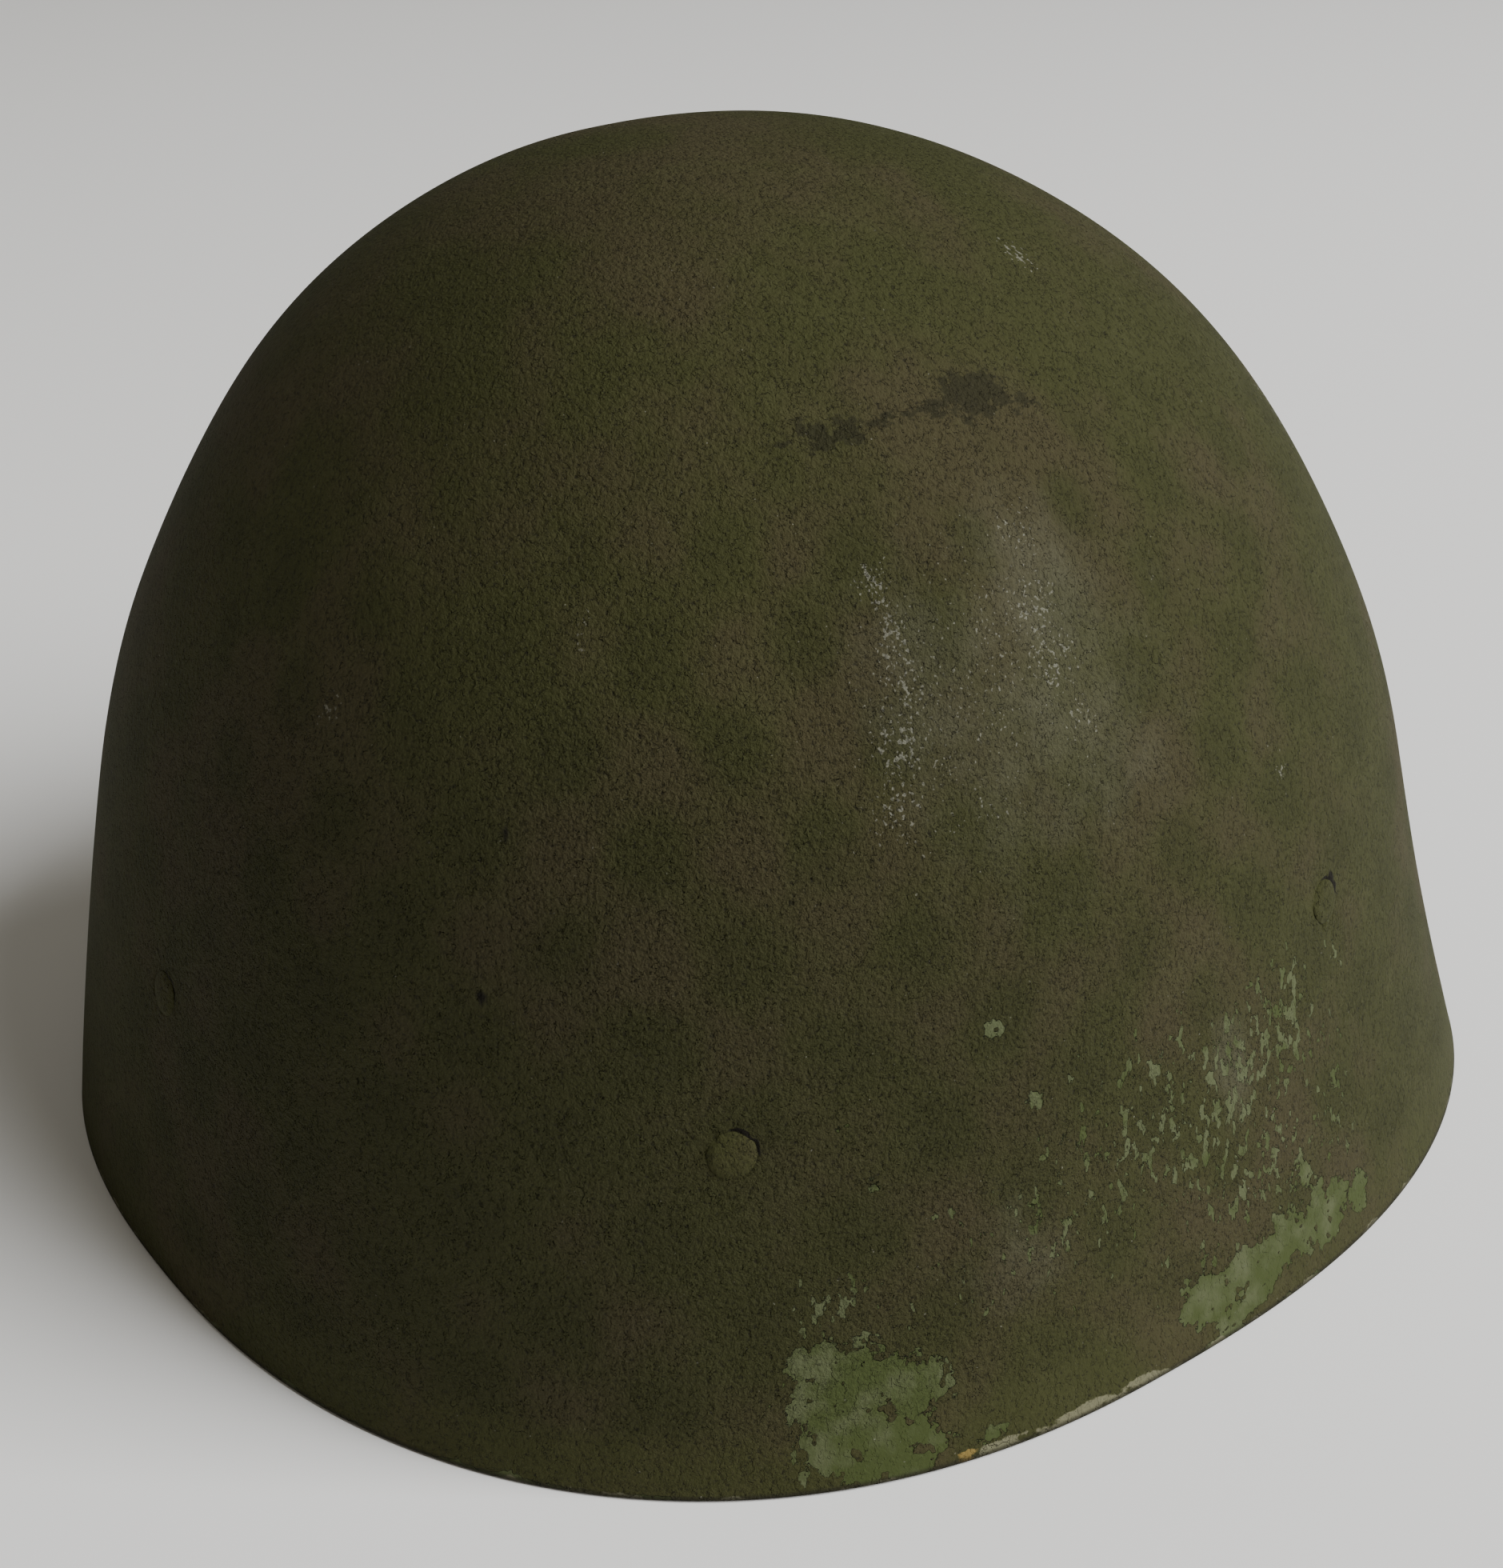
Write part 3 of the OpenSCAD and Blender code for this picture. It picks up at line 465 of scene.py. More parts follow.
outerPaint = sprayedPaint()
innerPaint = layeredMaterial("dippedPaint", dippedPaint)
linerSteel = layeredMaterial("agedLinerSteel", agedSteel("#7c7a72", "#56544c", 0.48, 0.60))
fittingSteel = layeredMaterial("wornFittingSteel", agedSteel("#9a978d", "#6d6a61", 0.34, 0.63))
linerLeather = layeredMaterial("tannedLinerLeather",
                               tannedLeather("#8a5f3c", "#5a3a23", "#2e1c11", 1.3, 0.62))
strapLeather = layeredMaterial("tannedStrapLeather", tannedLeather("#6b452b", "#432a1a", "#21140c", 1.1, 0.5))
feltWool = layeredMaterial("pressedFelt", pressedFelt)
linenThread = layeredMaterial("waxedLinenThread", twistedYarn("#b8a67e", "#7a6a4a", 0.5))
cottonCord = layeredMaterial("twistedCottonCord", twistedYarn("#a39470", "#6c6046", 0.6))
print("materials made")

# Shell: the fitted wall with its dents and dimples. Where it is worn, and where sheen and glints are painted
# on, is kept as marks for the paint.
rivetSet = {
    "azimuths": [math.radians(a) for a in (0, 56, 119, 180, -119, -56)],
    "height": 57.5, "headRadius": 3.8, "seat": 0.35,
    "shank": 2.0, "tailRadius": 3.2, "tailLength": 1.0,
}
wornAndLitPlaces = {               # azimuth in degrees, height, half width, half height, strength
    "chips": [(64.8, 14.5, 12, 11, 0.80), (61.5, 23, 7, 6, 0.62), (66.5, 6, 11, 4.5, 0.74),
              (69.5, 17, 5, 5, 0.58), (74.5, 4.6, 5, 2.2, 0.57), (96, 8, 8, 6, 0.66), (101, 6, 11, 6, 0.76),
              (106, 8, 9, 6, 0.68), (112, 7, 8, 7, 0.70), (116, 5, 5, 5, 0.64), (109, 16, 5, 6, 0.58),
              (81.5, 53.8, 3.4, 2.6, 0.50), (64.5, 58.4, 3.4, 2.6, 0.51), (66, 86.2, 0.9, 3, 0.48),
              (67, 48.9, 2.6, 2.6, 0.50), (78, 67, 2.4, 3, 0.48), (40, 2, 14, 1.6, 0.55),
              (-30, 3, 26, 2, 0.55), (-75, 8, 12, 7, 0.68), (-120, 4, 22, 4, 0.6), (160, 6, 20, 5, 0.64),
              (-150, 14, 9, 8, 0.66)],
    "flecks": [(103, 40, 13, 13, 1.0), (97, 36, 14, 12, 0.85), (110, 44, 10, 14, 0.9),
               (94, 50, 14, 7, 0.75), (90, 38, 13, 13, 0.74), (85, 46, 12, 14, 0.6),
               (104, 24, 16, 10, 0.85), (82, 34, 16, 13, 0.70), (74, 34, 12, 12, 0.56),
               (63, 32, 8, 5, 0.85), (60, 12, 4, 14, 0.7), (115, 28, 8, 20, 0.65), (119, 50, 3, 7, 0.8),
               (98, 14, 14, 8, 0.7), (-130, 60, 30, 18, 0.7), (-60, 30, 20, 12, 0.5)],
    "smear": [(70, 147.6, 4.5, 2.2, 0.62), (74.5, 147.2, 4.5, 2.2, 0.64), (83, 147.6, 8, 1.1, 0.60),
              (90.5, 148, 4, 2.4, 0.60), (96, 147.4, 6.5, 3.2, 0.76), (102, 145.6, 5, 2.2, 0.58),
              (-100, 120, 14, 3, 0.5)],
    # painted glints on scuffed grain tops
    "scuffGlint": [(73.7, 129.5, 2, 3, 0.9), (74.5, 123, 2.4, 4, 0.85), (74.6, 116, 3.4, 5, 0.75),
              (73.2, 109, 4.2, 5, 0.78), (71.8, 102, 4, 4, 0.7), (93, 131, 3, 4, 0.55),
              (91.5, 121.7, 4.5, 5, 0.7), (92, 113.8, 4.5, 5, 0.7), (93, 105.5, 3.5, 4, 0.6),
              (84, 108.6, 2, 3, 0.55), (81, 98.6, 3, 4, 0.5), (86, 118, 8, 12, 0.42),
              (78, 112, 12, 16, 0.40), (44.5, 129.1, 0.9, 3, 0.8), (125, 159.8, 2, 2, 0.8),
              (116.5, 83.2, 1.8, 1.4, 0.8), (19.5, 112.7, 2, 2, 0.7), (-60, 100, 4, 10, 0.7),
              (150, 120, 4, 10, 0.7)],
    # painted sheen; the two low ones at 78.5 and 103 degrees are blue-grey stains
    "sheen": [(88, 108, 24, 20, 0.42), (93, 122, 9, 12, 0.55), (91, 106, 13, 11, 0.5),
              (96, 98, 12, 6, 0.42), (76, 115, 10, 15, 0.42), (78.5, 31, 9, 9, 0.36), (103, 43, 4, 9, 0.5),
              (-60, 100, 20, 20, 0.4)],
    "ochre": [(72, 3.2, 3.2, 1.6, 0.68)],
    "cream": [(75, 2.6, 7, 1.5, 0.66), (82, 1.8, 9, 1.4, 0.65), (88, 1.3, 6, 1.2, 0.6),
              (65, 0.8, 8, 1.2, 0.55)],
    "rust": [(119, 57, 5, 5, 0.35), (0, 58, 5, 4, 0.35), (180, 57, 5, 5, 0.4), (-60, 56, 5, 5, 0.4)],
    "brown": [(11, 171.8, 60, 8, 0.10), (94.5, 137, 18, 12, 0.14), (70.5, 131, 14, 12, 0.12),
              (69, 90, 14, 12, 0.08), (92.5, 75, 20, 16, 0.12), (77, 41.6, 14, 10, 0.12),
              (11, 84.7, 24, 16, 0.10)],
    "coarse": [(40, 60, 70, 45, 1.0), (74, 112, 16, 30, 0.5), (-110, 70, 60, 50, 0.8)],
    "crack": [(120.6, 60.2, 0.8, 1.4, 0.9), (121, 58.6, 0.6, 0.9, 0.8), (37, 79.9, 1.1, 1.1, 0.85),
              (38.5, 102.5, 0.9, 1.4, 0.7), (31.5, 143, 1.3, 1.8, 0.45)],
}
dents = [(37, 79.8, 12, 9, 0.5), (31, 142.1, 14, 9, 0.6), (115.5, 83.6, 13, 10, 0.5), (82, 110, 20, 15, 0.5),
         (-40, 120, 18, 14, 0.7), (-100, 70, 20, 12, 0.6), (160, 100, 22, 15, 0.6), (127, 150, 12, 8, 0.4)]
net = {                      # side of a mesh, the wall's mean radius, and the height where it fades out
    "pitch": 20.0, "radius": 112, "strength": 0.09, "top": 120.0,
}


def blobs(places, azDegrees, height, radius):
    total = np.zeros(azDegrees.shape)
    for az, z, halfWidth, halfHeight, strength in places:
        away = (azDegrees - az + 180) % 360 - 180
        across = np.radians(away) * np.maximum(radius, 20) / halfWidth
        away = across ** 2 + ((height - z) / halfHeight) ** 2
        total = np.maximum(total, strength * np.exp(-0.5 * away ** 1.3))
    return total


def closerSteps(start, stop, wide, narrow, near):   # places from start to stop, closer where near() says so
    places = [start]
    while places[-1] < stop:
        places.append(places[-1] + (narrow if near(places[-1]) else wide))
    return np.array(places[:-1])


def onWall(az, height):      # a point of the outer face, and the directions right, up and out there
    turn = turnOf(np.array(height))
    point, out = shellPoint(np.array(az), turn), shellOut(np.array(az), turn)
    up = np.array([0, 0, 1.0]) - out * out[2]
    up /= np.linalg.norm(up)
    return point, np.cross(up, out), up, out


def fromRivet(degrees):      # to the nearest rivet round the head
    return min(abs((degrees - math.degrees(az) + 180) % 360 - 180) for az in rivetSet["azimuths"])


def buildShell():
    columns = closerSteps(0, 360, 0.8, 0.16, lambda degrees: fromRivet(degrees) < 3.3)     # in degrees
    az = np.radians(columns)[None, :]
    rivetTurn = turnOf(rivetSet["height"])
    wide, narrow, near = 1.3, 0.32, 6.5      # steps down the wall, and how far from a rivet they are narrow
    bowl, skirt = 171.5, 60  # about the wall's radius, and the way from the rivets to the rim
    upper = closerSteps(1.5, rivetTurn * bowl, wide, narrow, lambda run: run > rivetTurn * bowl - near) / bowl
    rimTurn = turnOf(rimHeight(az))
    lowerShare = np.concatenate([np.arange(0, near, narrow), np.arange(near, skirt, wide)]) / skirt
    turns = np.concatenate([np.repeat(upper[:, None], az.shape[1], 1),
                            rivetTurn + (rimTurn - rivetTurn) * lowerShare[:, None],
                            rimTurn])
    azGrid = np.repeat(az, len(turns), 0)
    face = shellPoint(azGrid, turns)
    out = shellOut(azGrid, turns)
    height = face[..., 2]
    above = height - rimHeight(azGrid)
    radius = np.hypot(face[..., 0], face[..., 1])
    degrees = np.degrees(azGrid)

    rise = 0.22 * softNoise(face, 45, 3) * smoothStep(above, 0, 12) - blobs(dents, degrees, height, radius)
    rise -= 0.2 * smoothStep(height, 150, 176)   # so nothing passes the CAD's top
    crack = blobs(wornAndLitPlaces["crack"], degrees, height, radius)
    for rivetAz in rivetSet["azimuths"]:
        centre, right, up, _ = onWall(rivetAz, rivetSet["height"])
        away = np.linalg.norm(face - centre, axis=-1) + 0.22 * softNoise(face, 1.7, 35)
        past = away - rivetSet["headRadius"]
        rise -= 0.3 * np.exp(-(away / 9) ** 2) + rivetSet["seat"] * (1 - smoothStep(past, -1.2, 1.6))
        bridged = 0.85 + softNoise(face, 2.4, 33) * 0.9   # paint runs over the head's edge in places
        rise += 0.20 * bridged * np.exp(-(past / 0.8) ** 2)
        towards = (face - centre) @ (right + up) * 0.7 / np.maximum(away, 0.1)
        crack = np.maximum(crack, np.exp(-((past - 0.15) / 0.35) ** 2)
                           * (0.12 + 0.9 * smoothStep(towards, 0.45, 0.85) + 0.25 * softNoise(face, 3, 31)))
    outer = face + out * rise[..., None]

    steel = shellSize["steel"]
    rimOut, downward = out[-1], unitRows(face[-1] - face[-2])
    lip = np.array([face[-1] + steel / 2 * (rimOut * (math.cos(angle) - 1) + downward * (math.sin(angle) - 1))
                    for angle in np.radians([30, 65, 90, 115, 150])])    # the raw edge, rounded off
    keep = np.arange(len(turns) - 1, 0, -5)              # the inside has fewer rows
    inner = face[keep] + out[keep] * (np.minimum(rise[keep], 0) - steel)[..., None]
    grid = np.concatenate([outer, lip, inner])

    # marks of wear and dirt, with the painted sheen and glints among them
    wornAndLit = {name: blobs(places, degrees, height, radius) for name, places in wornAndLitPlaces.items()}
    steps = np.linalg.norm(np.diff(face, axis=0), axis=-1)
    meridian = np.concatenate([np.cumsum(steps[::-1], axis=0)[::-1], np.zeros_like(steps[:1])])
    # a net once stretched over the wet paint left a faint lattice of browner and greener spots
    warp = 2.0 * softNoise(face, 60, 11)
    apart = net["pitch"] * math.sqrt(2)
    waves = [np.cos(fullTurn * (azGrid * net["radius"] + way * (meridian + warp)) / apart) for way in (1, -1)]
    spots = (waves[0] + waves[1]) / 2 * (1 - smoothStep(height, net["top"], net["top"] + 40))
    spots = spots * smoothStep(above, 4, 18) * (1 + 0.5 * softNoise(face, 35, 12))
    wornAndLit["net"] = smoothStep(spots, -0.1, 0.9)
    wornAndLit["brown"] -= net["strength"] * spots
    wornAndLit["cream"] = np.maximum(wornAndLit["cream"], np.exp(-above / 1.5) * (0.56 + 0.25 * softNoise(face, 7, 21)))
    wornAndLit["chips"] = np.maximum(wornAndLit["chips"], np.exp(-above / 2.2) * (0.52 + 0.14 * softNoise(face, 14, 22)))
    wornAndLit["smooth"] = 0.8 * (1 - smoothStep(above, 6, 15))
    wornAndLit["crack"] = crack
    wornAndLit["rimEdge"] = 1 - smoothStep(above, 0.12, 0.5)
    bareInside = np.zeros((len(inner), grid.shape[1]))
    marks = {}
    for name, values in wornAndLit.items():
        onLip = np.repeat(values[-1:], len(lip), 0) + (name == "rimEdge")
        marks[name] = np.concatenate([values, onLip, bareInside])
    inside = np.arange(len(grid) - 1) >= len(outer) + len(lip) - 1       # then the caps at the crown
    finish = np.repeat(np.append(inside, [False, True]), grid.shape[1]).astype(int)
    crown = np.array([0, 0, shellSize["crownHeight"]])
    shape = Shape()
    shape.addGrid(grid, finish, caps=(crown + [0, 0, rise[0].mean()], crown - [0, 0, steel]), **marks)
    shape.make("shellPressing", "helmet", [outerPaint, innerPaint], ["shell"], "painted_steel")


buildShell()


# Rivets: flat heads sunk in their dimples, painted over with the shell
def lathe(profile, frameOf, segments=56):        # radius and height, turned about the outward direction
    point, right, up, out = frameOf
    radius, height = np.transpose(profile)[..., None, None]
    return point + radius * circleOf(right, up, segments) + height * out


def smoothProfile(profile, passes=2):   # rounds the corners off an open line of points
    line = np.asarray(profile, float)
    for _ in range(passes):
        first, second = line[:-1] * 0.75 + line[1:] * 0.25, line[:-1] * 0.25 + line[1:] * 0.75
        line = np.concatenate([line[:1], np.stack([first, second], 1).reshape(-1, line.shape[1]), line[-1:]])
    return line


liner = {
    "bandInset": 15.5, "bandHeight": 22.0, "bandSteel": 0.8, "leather": 1.8, "sweatRise": 6.0, "turnUp": 3.0,
    "felt": 4.0, "feltHeight": 17.0, "feltClear": math.radians(6), "feltRoom": 2.2, "softGap": 0.3,
    "tongueBase": 58.0, "tongueTip": 13.0, "tongueLeather": 1.5, "tongueLap": 9.0,
    "laceDrop": 36.0, "laceRing": 27.0, "lace": 1.3, "hem": 8.0, "washer": 0.7, "seatGap": 0.25,
}
bandLean = math.asin(float(onWall(math.pi / 2, rivetSet["height"])[3][2]))
linerLow = rivetSet["height"] - liner["bandHeight"] / 2
linerHigh = rivetSet["height"] + liner["bandHeight"] / 2 + liner["sweatRise"]


def hoopPoint(az, inset, height):       # liner hoops lean in with the wall
    lean = inset + math.tan(bandLean) * (height - rivetSet["height"])
    return polar(az, crownRadius(az, lean), height)


def bandReach(az):           # from the outer face in to the band, along the rivet
    point, _, _, out = onWall(az, rivetSet["height"])
    low, high = 0.0, 34.0
    for _ in range(30):
        middle = (low + high) / 2
        here = point - middle * out
        lean = liner["bandInset"] + math.tan(bandLean) * (here[2] - rivetSet["height"])
        outside = math.hypot(here[0], here[1]) > crownRadius(np.array(math.atan2(here[0], -here[1])), lean)
        low, high = (middle, high) if outside else (low, middle)
    return low


def buildRivets():
    shape = Shape()
    size = rivetSet
    for number, az in enumerate(size["azimuths"]):
        frameOf = onWall(az, size["height"])
        sunk = -0.05 - size["seat"]
        tail = -bandReach(az) - liner["bandSteel"] - liner["washer"] - 2 * liner["seatGap"]
        head = smoothProfile([(size["shank"], sunk - 0.3), (size["headRadius"] - 0.2, sunk - 0.3),
                              (size["headRadius"], sunk + 0.1), (size["headRadius"] - 0.7, sunk + 0.42),
                              (2.6, sunk + 0.58), (1.2, sunk + 0.62), (0.3, sunk + 0.62)])
        end = tail - size["tailLength"]
        stem = smoothProfile([(0.3, end), (1.6, end + 0.05), (size["tailRadius"] - 0.4, end + 0.35),
                              (size["tailRadius"], tail - 0.2), (size["tailRadius"], tail),
                              (size["shank"], tail), (size["shank"], sunk - 0.3)])
        line = np.concatenate([stem, head[1:]])
        grid = lathe(line[::-1], frameOf)
        wobble = 0.10 * softNoise(grid, 4, 40 + number) * (grid @ frameOf[3] > frameOf[0] @ frameOf[3] - 1)
        grid = grid + frameOf[3] * wobble[..., None]
        isStem = np.repeat(np.append(np.arange(len(line) - 1) >= len(head) - 1, [False, True]), grid.shape[1])
        shape.addClosed(grid, isStem.astype(int), brown=np.full(grid.shape[:2], -0.04),
                        net=np.full(grid.shape[:2], 0.3))
    shape.make("linerRivets", "helmet", [outerPaint, linerSteel], ["liner_rivets"], "painted_steel")


buildRivets()


# Liner band, sweatband and felt are hoops that lean in with the wall
def hoopShape(profile, az):  # a section of insets and heights, carried round the head
    inset, height = np.transpose(profile)[:, None]
    return hoopPoint(az[:, None], inset, height)


def buildBand():
    inset, steel = liner["bandInset"], liner["bandSteel"]
    low, high = linerLow, rivetSet["height"] + liner["bandHeight"] / 2
    corner = steel * 0.3
    profile = [(inset, low + corner), (inset, high - corner), (inset + corner, high),
               (inset + steel - corner, high), (inset + steel, high - corner), (inset + steel, low + corner),
               (inset + steel - corner, low), (inset + corner, low)]
    shape = Shape()
    shape.addGrid(hoopShape(profile, around(360)), wrapRows=True)
    shape.make("linerBand", "helmet", [linerSteel], ["liner_band"], "liner_steel")


buildBand()

stitch = {"length": 2.7, "pitch": 3.9, "thread": 0.34}


def addStitches(shape, line, out, finish, pitch=stitch["pitch"]):    # a row of them along a line of points
    run = runOf(line)
    count = int(run[-1] // pitch)
    start = (run[-1] - (count - 1) * pitch - stitch["length"]) / 2
    bow = np.sin(np.linspace(0, math.pi, 7))
    girth = stitch["thread"] * (0.35 + 0.65 * np.sqrt(bow))
    for number in range(count):
        places = start + number * pitch + np.linspace(0, stitch["length"], 7)
        middle, lift = sampled(line, run, places), unitRows(sampled(out, run, places))
        side = np.cross(alongLine(middle), lift)
        middle = middle + lift * ((bow - 0.75) * stitch["thread"] * 1.1)[:, None]
        shape.addClosed(middle[:, None] + circleOf(side, lift, 8) * girth[:, None, None], finish)


def buildSweatband():
    out = liner["bandInset"] - liner["softGap"]
    face = liner["bandInset"] + liner["bandSteel"] + liner["feltRoom"] + liner["felt"] + liner["softGap"]
    thick, low = liner["leather"], linerLow - liner["softGap"]
    inner, turnedUp = face + thick, linerLow + liner["turnUp"]
    risen = np.linspace(low + 1.5, linerHigh - 1.2, 12)
    wallIn = [(inner, z) for z in risen]
    wallOut = [(face, z) for z in risen[::-1]]
    topEdge = [(inner - 0.3, linerHigh - 0.3), (inner - 0.9, linerHigh), (face + 0.3, linerHigh - 0.3)]
    floorTop = [(face, low + 0.2), (face - 1.5, low), (out + 2.5, low), (out + 0.4, low)]
    flapIn = [(out, low + 0.4), (out, turnedUp - 0.5)]
    flapTop = [(out - 0.4, turnedUp), (out - 1.2, turnedUp - 0.1)]
    flapOut = [(out - thick, turnedUp - 0.8), (out - thick, low)]
    under = [(out - thick + 0.5, low - 1.0), (out - 0.6, low - thick + 0.1), (out + 0.8, low - thick),
             (face - 1.0, low - thick), (face + 1.0, low - thick + 0.15), (inner - 0.3, low - 0.4)]
    profile = np.array(wallIn + topEdge + wallOut + floorTop + flapIn + flapTop + flapOut + under)
    az = around(480)
    grid = hoopShape(profile, az)
    # the turned-up edge is trimmed away for the ring plates beside the ears
    trimmed = (1 - smoothStep(np.abs(grid[:, 0, 1]), 13.0, 14.2)) * (np.abs(np.sin(az)) > 0.5)
    isFlap = profile[:, 0] < out + 1.0
    pulledIn = np.where(isFlap, liner["bandInset"] + 0.25, profile[:, 0])
    pulledDown = np.where(isFlap, np.minimum(profile[:, 1], low - 0.05), profile[:, 1])
    pulled = hoopShape(np.stack([pulledIn, pulledDown], -1), az)
    grid = grid + (pulled - grid) * (trimmed[:, None] * isFlap)[..., None]
    soft = 0.22 * softNoise(grid, 22, 5) + 0.1 * softNoise(grid, 7, 6)
    soft = soft * (np.arange(len(profile)) < len(wallIn))        # only the face towards the head is uneven
    grid = grid - unitRows(grid * [1, 1, 0]) * soft[..., None]
    edge = np.repeat(np.exp(-np.abs(profile[:, 1] - linerHigh) / 1.2)[None, :], len(az), 0)
    edge[:, len(wallIn) + len(topEdge):] *= 0.4
    shape = Shape()
    shape.addGrid(grid, wrapRows=True, edge=edge)
    az = np.linspace(0, fullTurn, 720)
    line = hoopPoint(az, np.full_like(az, inner + 0.12), np.full_like(az, low + 3.4))
    addStitches(shape, line, -unitRows(line * [1, 1, 0]), 1)     # thread that holds the turned-up edge
    shape.make("sweatbandLeather", "helmet", [linerLeather, linenThread], ["sweatband"], "liner_leather")


buildSweatband()

feltPads = {"front_left": (0, 1), "left": (1, 2), "rear_left": (2, 3),
            "front_right": (5, 0), "right": (4, 5), "rear_right": (3, 4)}


def buildFelt(place, ends, seed):
    first, last = (rivetSet["azimuths"][e] for e in ends)
    if last < first:
        first -= fullTurn
    first, last = first + liner["feltClear"], last - liner["feltClear"]
    near = liner["bandInset"] + liner["bandSteel"] + liner["feltRoom"]
    half, halfHigh = liner["felt"] / 2, liner["feltHeight"] / 2
    az = np.linspace(first, last, 72)
    length = np.linspace(-1, 1, 72)
    taper = np.maximum(1 - np.abs(length) ** 26, 0.02) ** 0.5       # rounded ends
    across, high = squarish(around(40), (0.55, 0.32))
    puff = 1 - 0.10 * (1 - np.cos(6 * math.pi * length)) / 2        # quilted between its tacks
    inset = near + half + half * 0.94 * across[None, :] * (taper * puff)[:, None]
    height = rivetSet["height"] + (halfHigh - 0.2) * high[None, :] * (0.55 + 0.45 * taper)[:, None]
    grid = hoopPoint(az[:, None] + 0 * inset, inset, height)
    outward = unitRows(grid - grid.mean(1, keepdims=True))
    tufts = 0.14 * softNoise(grid, 6, seed) + 0.08 * softNoise(grid, 2.2, seed + 9)
    grid = grid + outward * tufts[..., None]
    shape = Shape()
    shape.addClosed(grid)
    node = "felt_pad_" + place
    name = "feltPad" + "".join(word.capitalize() for word in place.split("_"))
    shape.make(name, "helmet", [feltWool], [node], "felt")


for seed, (place, ends) in enumerate(feltPads.items()):
    buildFelt(place, ends, 60 + seed)

laceHeight = shellSize["crownHeight"] - liner["laceDrop"]
hemRadius = liner["lace"] + liner["softGap"] + liner["tongueLeather"] / 2


# A tongue's way up, as radius and height: its foot is from step 0 to 1, its arch to 10, the turn of its
# hem to 17, and 18 is the hem's end.
def tonguePath(az, step):
    face = liner["bandInset"] + liner["bandSteel"] + liner["feltRoom"] + liner["felt"] + liner["softGap"] \
        + liner["leather"] + liner["softGap"] + liner["tongueLeather"] / 2
    lean = math.tan(bandLean)
    footHeight = linerHigh - liner["tongueLap"]
    foot = crownRadius(az, face + lean * (footHeight - rivetSet["height"]))
    spring = crownRadius(az, face + lean * (linerHigh - rivetSet["height"]))
    turnStart, turnEnd = math.radians(76), math.radians(270)
    endRadius = liner["laceRing"] + hemRadius * math.cos(turnStart)
    endHeight = laceHeight + hemRadius * math.sin(turnStart)
    endAngle = np.arccos(endRadius / spring)
    arch = (endHeight - linerHigh) / np.sin(endAngle)
    hemEnd = liner["laceRing"] + liner["hem"]
    hemHeight = np.minimum(linerHigh + arch * np.sqrt(1 - (hemEnd / spring) ** 2)
                           - 1.3 * (liner["tongueLeather"] + 0.2), laceHeight - liner["lace"])
    angle = endAngle * np.clip((step - 1) / 9, 0, 1)
    radius, height = spring * np.cos(angle), linerHigh + arch * np.sin(angle)
    share = np.clip(step, 0, 1)
    radius = np.where(step < 1, foot + (spring - foot) * share, radius)
    height = np.where(step < 1, footHeight + (linerHigh - footHeight) * share, height)
    turn = turnStart + (turnEnd - turnStart) * np.clip((step - 10) / 7, 0, 1)
    radius = np.where(step > 10, liner["laceRing"] + hemRadius * np.cos(turn), radius)
    height = np.where(step > 10, laceHeight + hemRadius * np.sin(turn), height)
    tail = np.clip(step - 17, 0, 1)
    radius = np.where(step > 17, liner["laceRing"] + (hemEnd - liner["laceRing"]) * tail, radius)
    height = np.where(step > 17, (laceHeight - hemRadius) * (1 - tail) + hemHeight * tail, height)
    return radius, height


def tongueFace(az, step, lift):     # a point of the tongue, that far off its middle layer
    radius, height = tonguePath(az, step)
    before, after = tonguePath(az, np.maximum(step - 0.12, 0)), tonguePath(az, np.minimum(step + 0.12, 18))
    dr, dz = after[0] - before[0], after[1] - before[1]
    size = np.maximum(np.hypot(dr, dz), 1e-9)
    return polar(az, radius - lift * dz / size, height + lift * dr / size)


def buildTongue(number):
    middle = math.radians(45 * number - 22.5)
    half, tip = liner["tongueLeather"] / 2, liner["tongueTip"]
    steps = np.concatenate([np.linspace(0, 10, 64), np.linspace(10.3, 17, 20), np.linspace(17.15, 18, 7)])
    radius = tonguePath(np.full_like(steps, middle), steps)[0]
    width = tip + (liner["tongueBase"] - tip) * np.maximum(0, 1 - steps / 9) ** 0.8
    sideAz = width / 2 / np.maximum(radius, liner["laceRing"])
    across, lift = squarish(around(52), (0.5, 0.28))
    az = middle + across[None, :] * sideAz[:, None]
    stepGrid = np.repeat(steps[:, None], len(across), 1)
    grid = tongueFace(az, stepGrid, lift[None, :] * half + 0 * az)
    ripple = 0.16 * softNoise(grid, 16, 100 + number)
    ripple = ripple * smoothStep(stepGrid, 1.2, 3) * (1 - smoothStep(stepGrid, 9, 10))
    grid = grid + unitRows(grid * [1, 1, 0.4]) * ripple[..., None]
    edge = smoothStep(np.abs(across), 0.9, 1.0)[None, :] + 0 * az
    edge = np.maximum(edge, smoothStep(stepGrid, 17.6, 18))
    edge = np.maximum(edge, 1 - smoothStep(stepGrid, 0, 0.15))
    shape = Shape()
    shape.addClosed(grid, edge=edge)
    # two rows of thread hold its foot to the sweatband, and one on its lower face closes its hem
    for step in (0.25, 0.62):
        where = middle + np.linspace(-0.9, 0.9, 60) * np.interp(step, steps, sideAz)
        line = tongueFace(where, np.full_like(where, step), half + 0.1)
        addStitches(shape, line, -unitRows(line * [1, 1, 0]), 1)
    where = middle + np.linspace(-0.8, 0.8, 20) * np.interp(17.7, steps, sideAz)
    faces = [tongueFace(where, np.full_like(where, 17.75), side * (half + 0.1)) for side in (-1, 1)]
    lower = min(faces, key=lambda face: face[0, 2])
    addStitches(shape, lower, np.tile([0, 0, -1.0], (len(where), 1)), 1, pitch=3.3)
    shape.make("tongue%d" % number, "helmet", [linerLeather, linenThread], ["tongue_%d" % number],
               "liner_leather")


for number in range(1, 9):
    buildTongue(number)


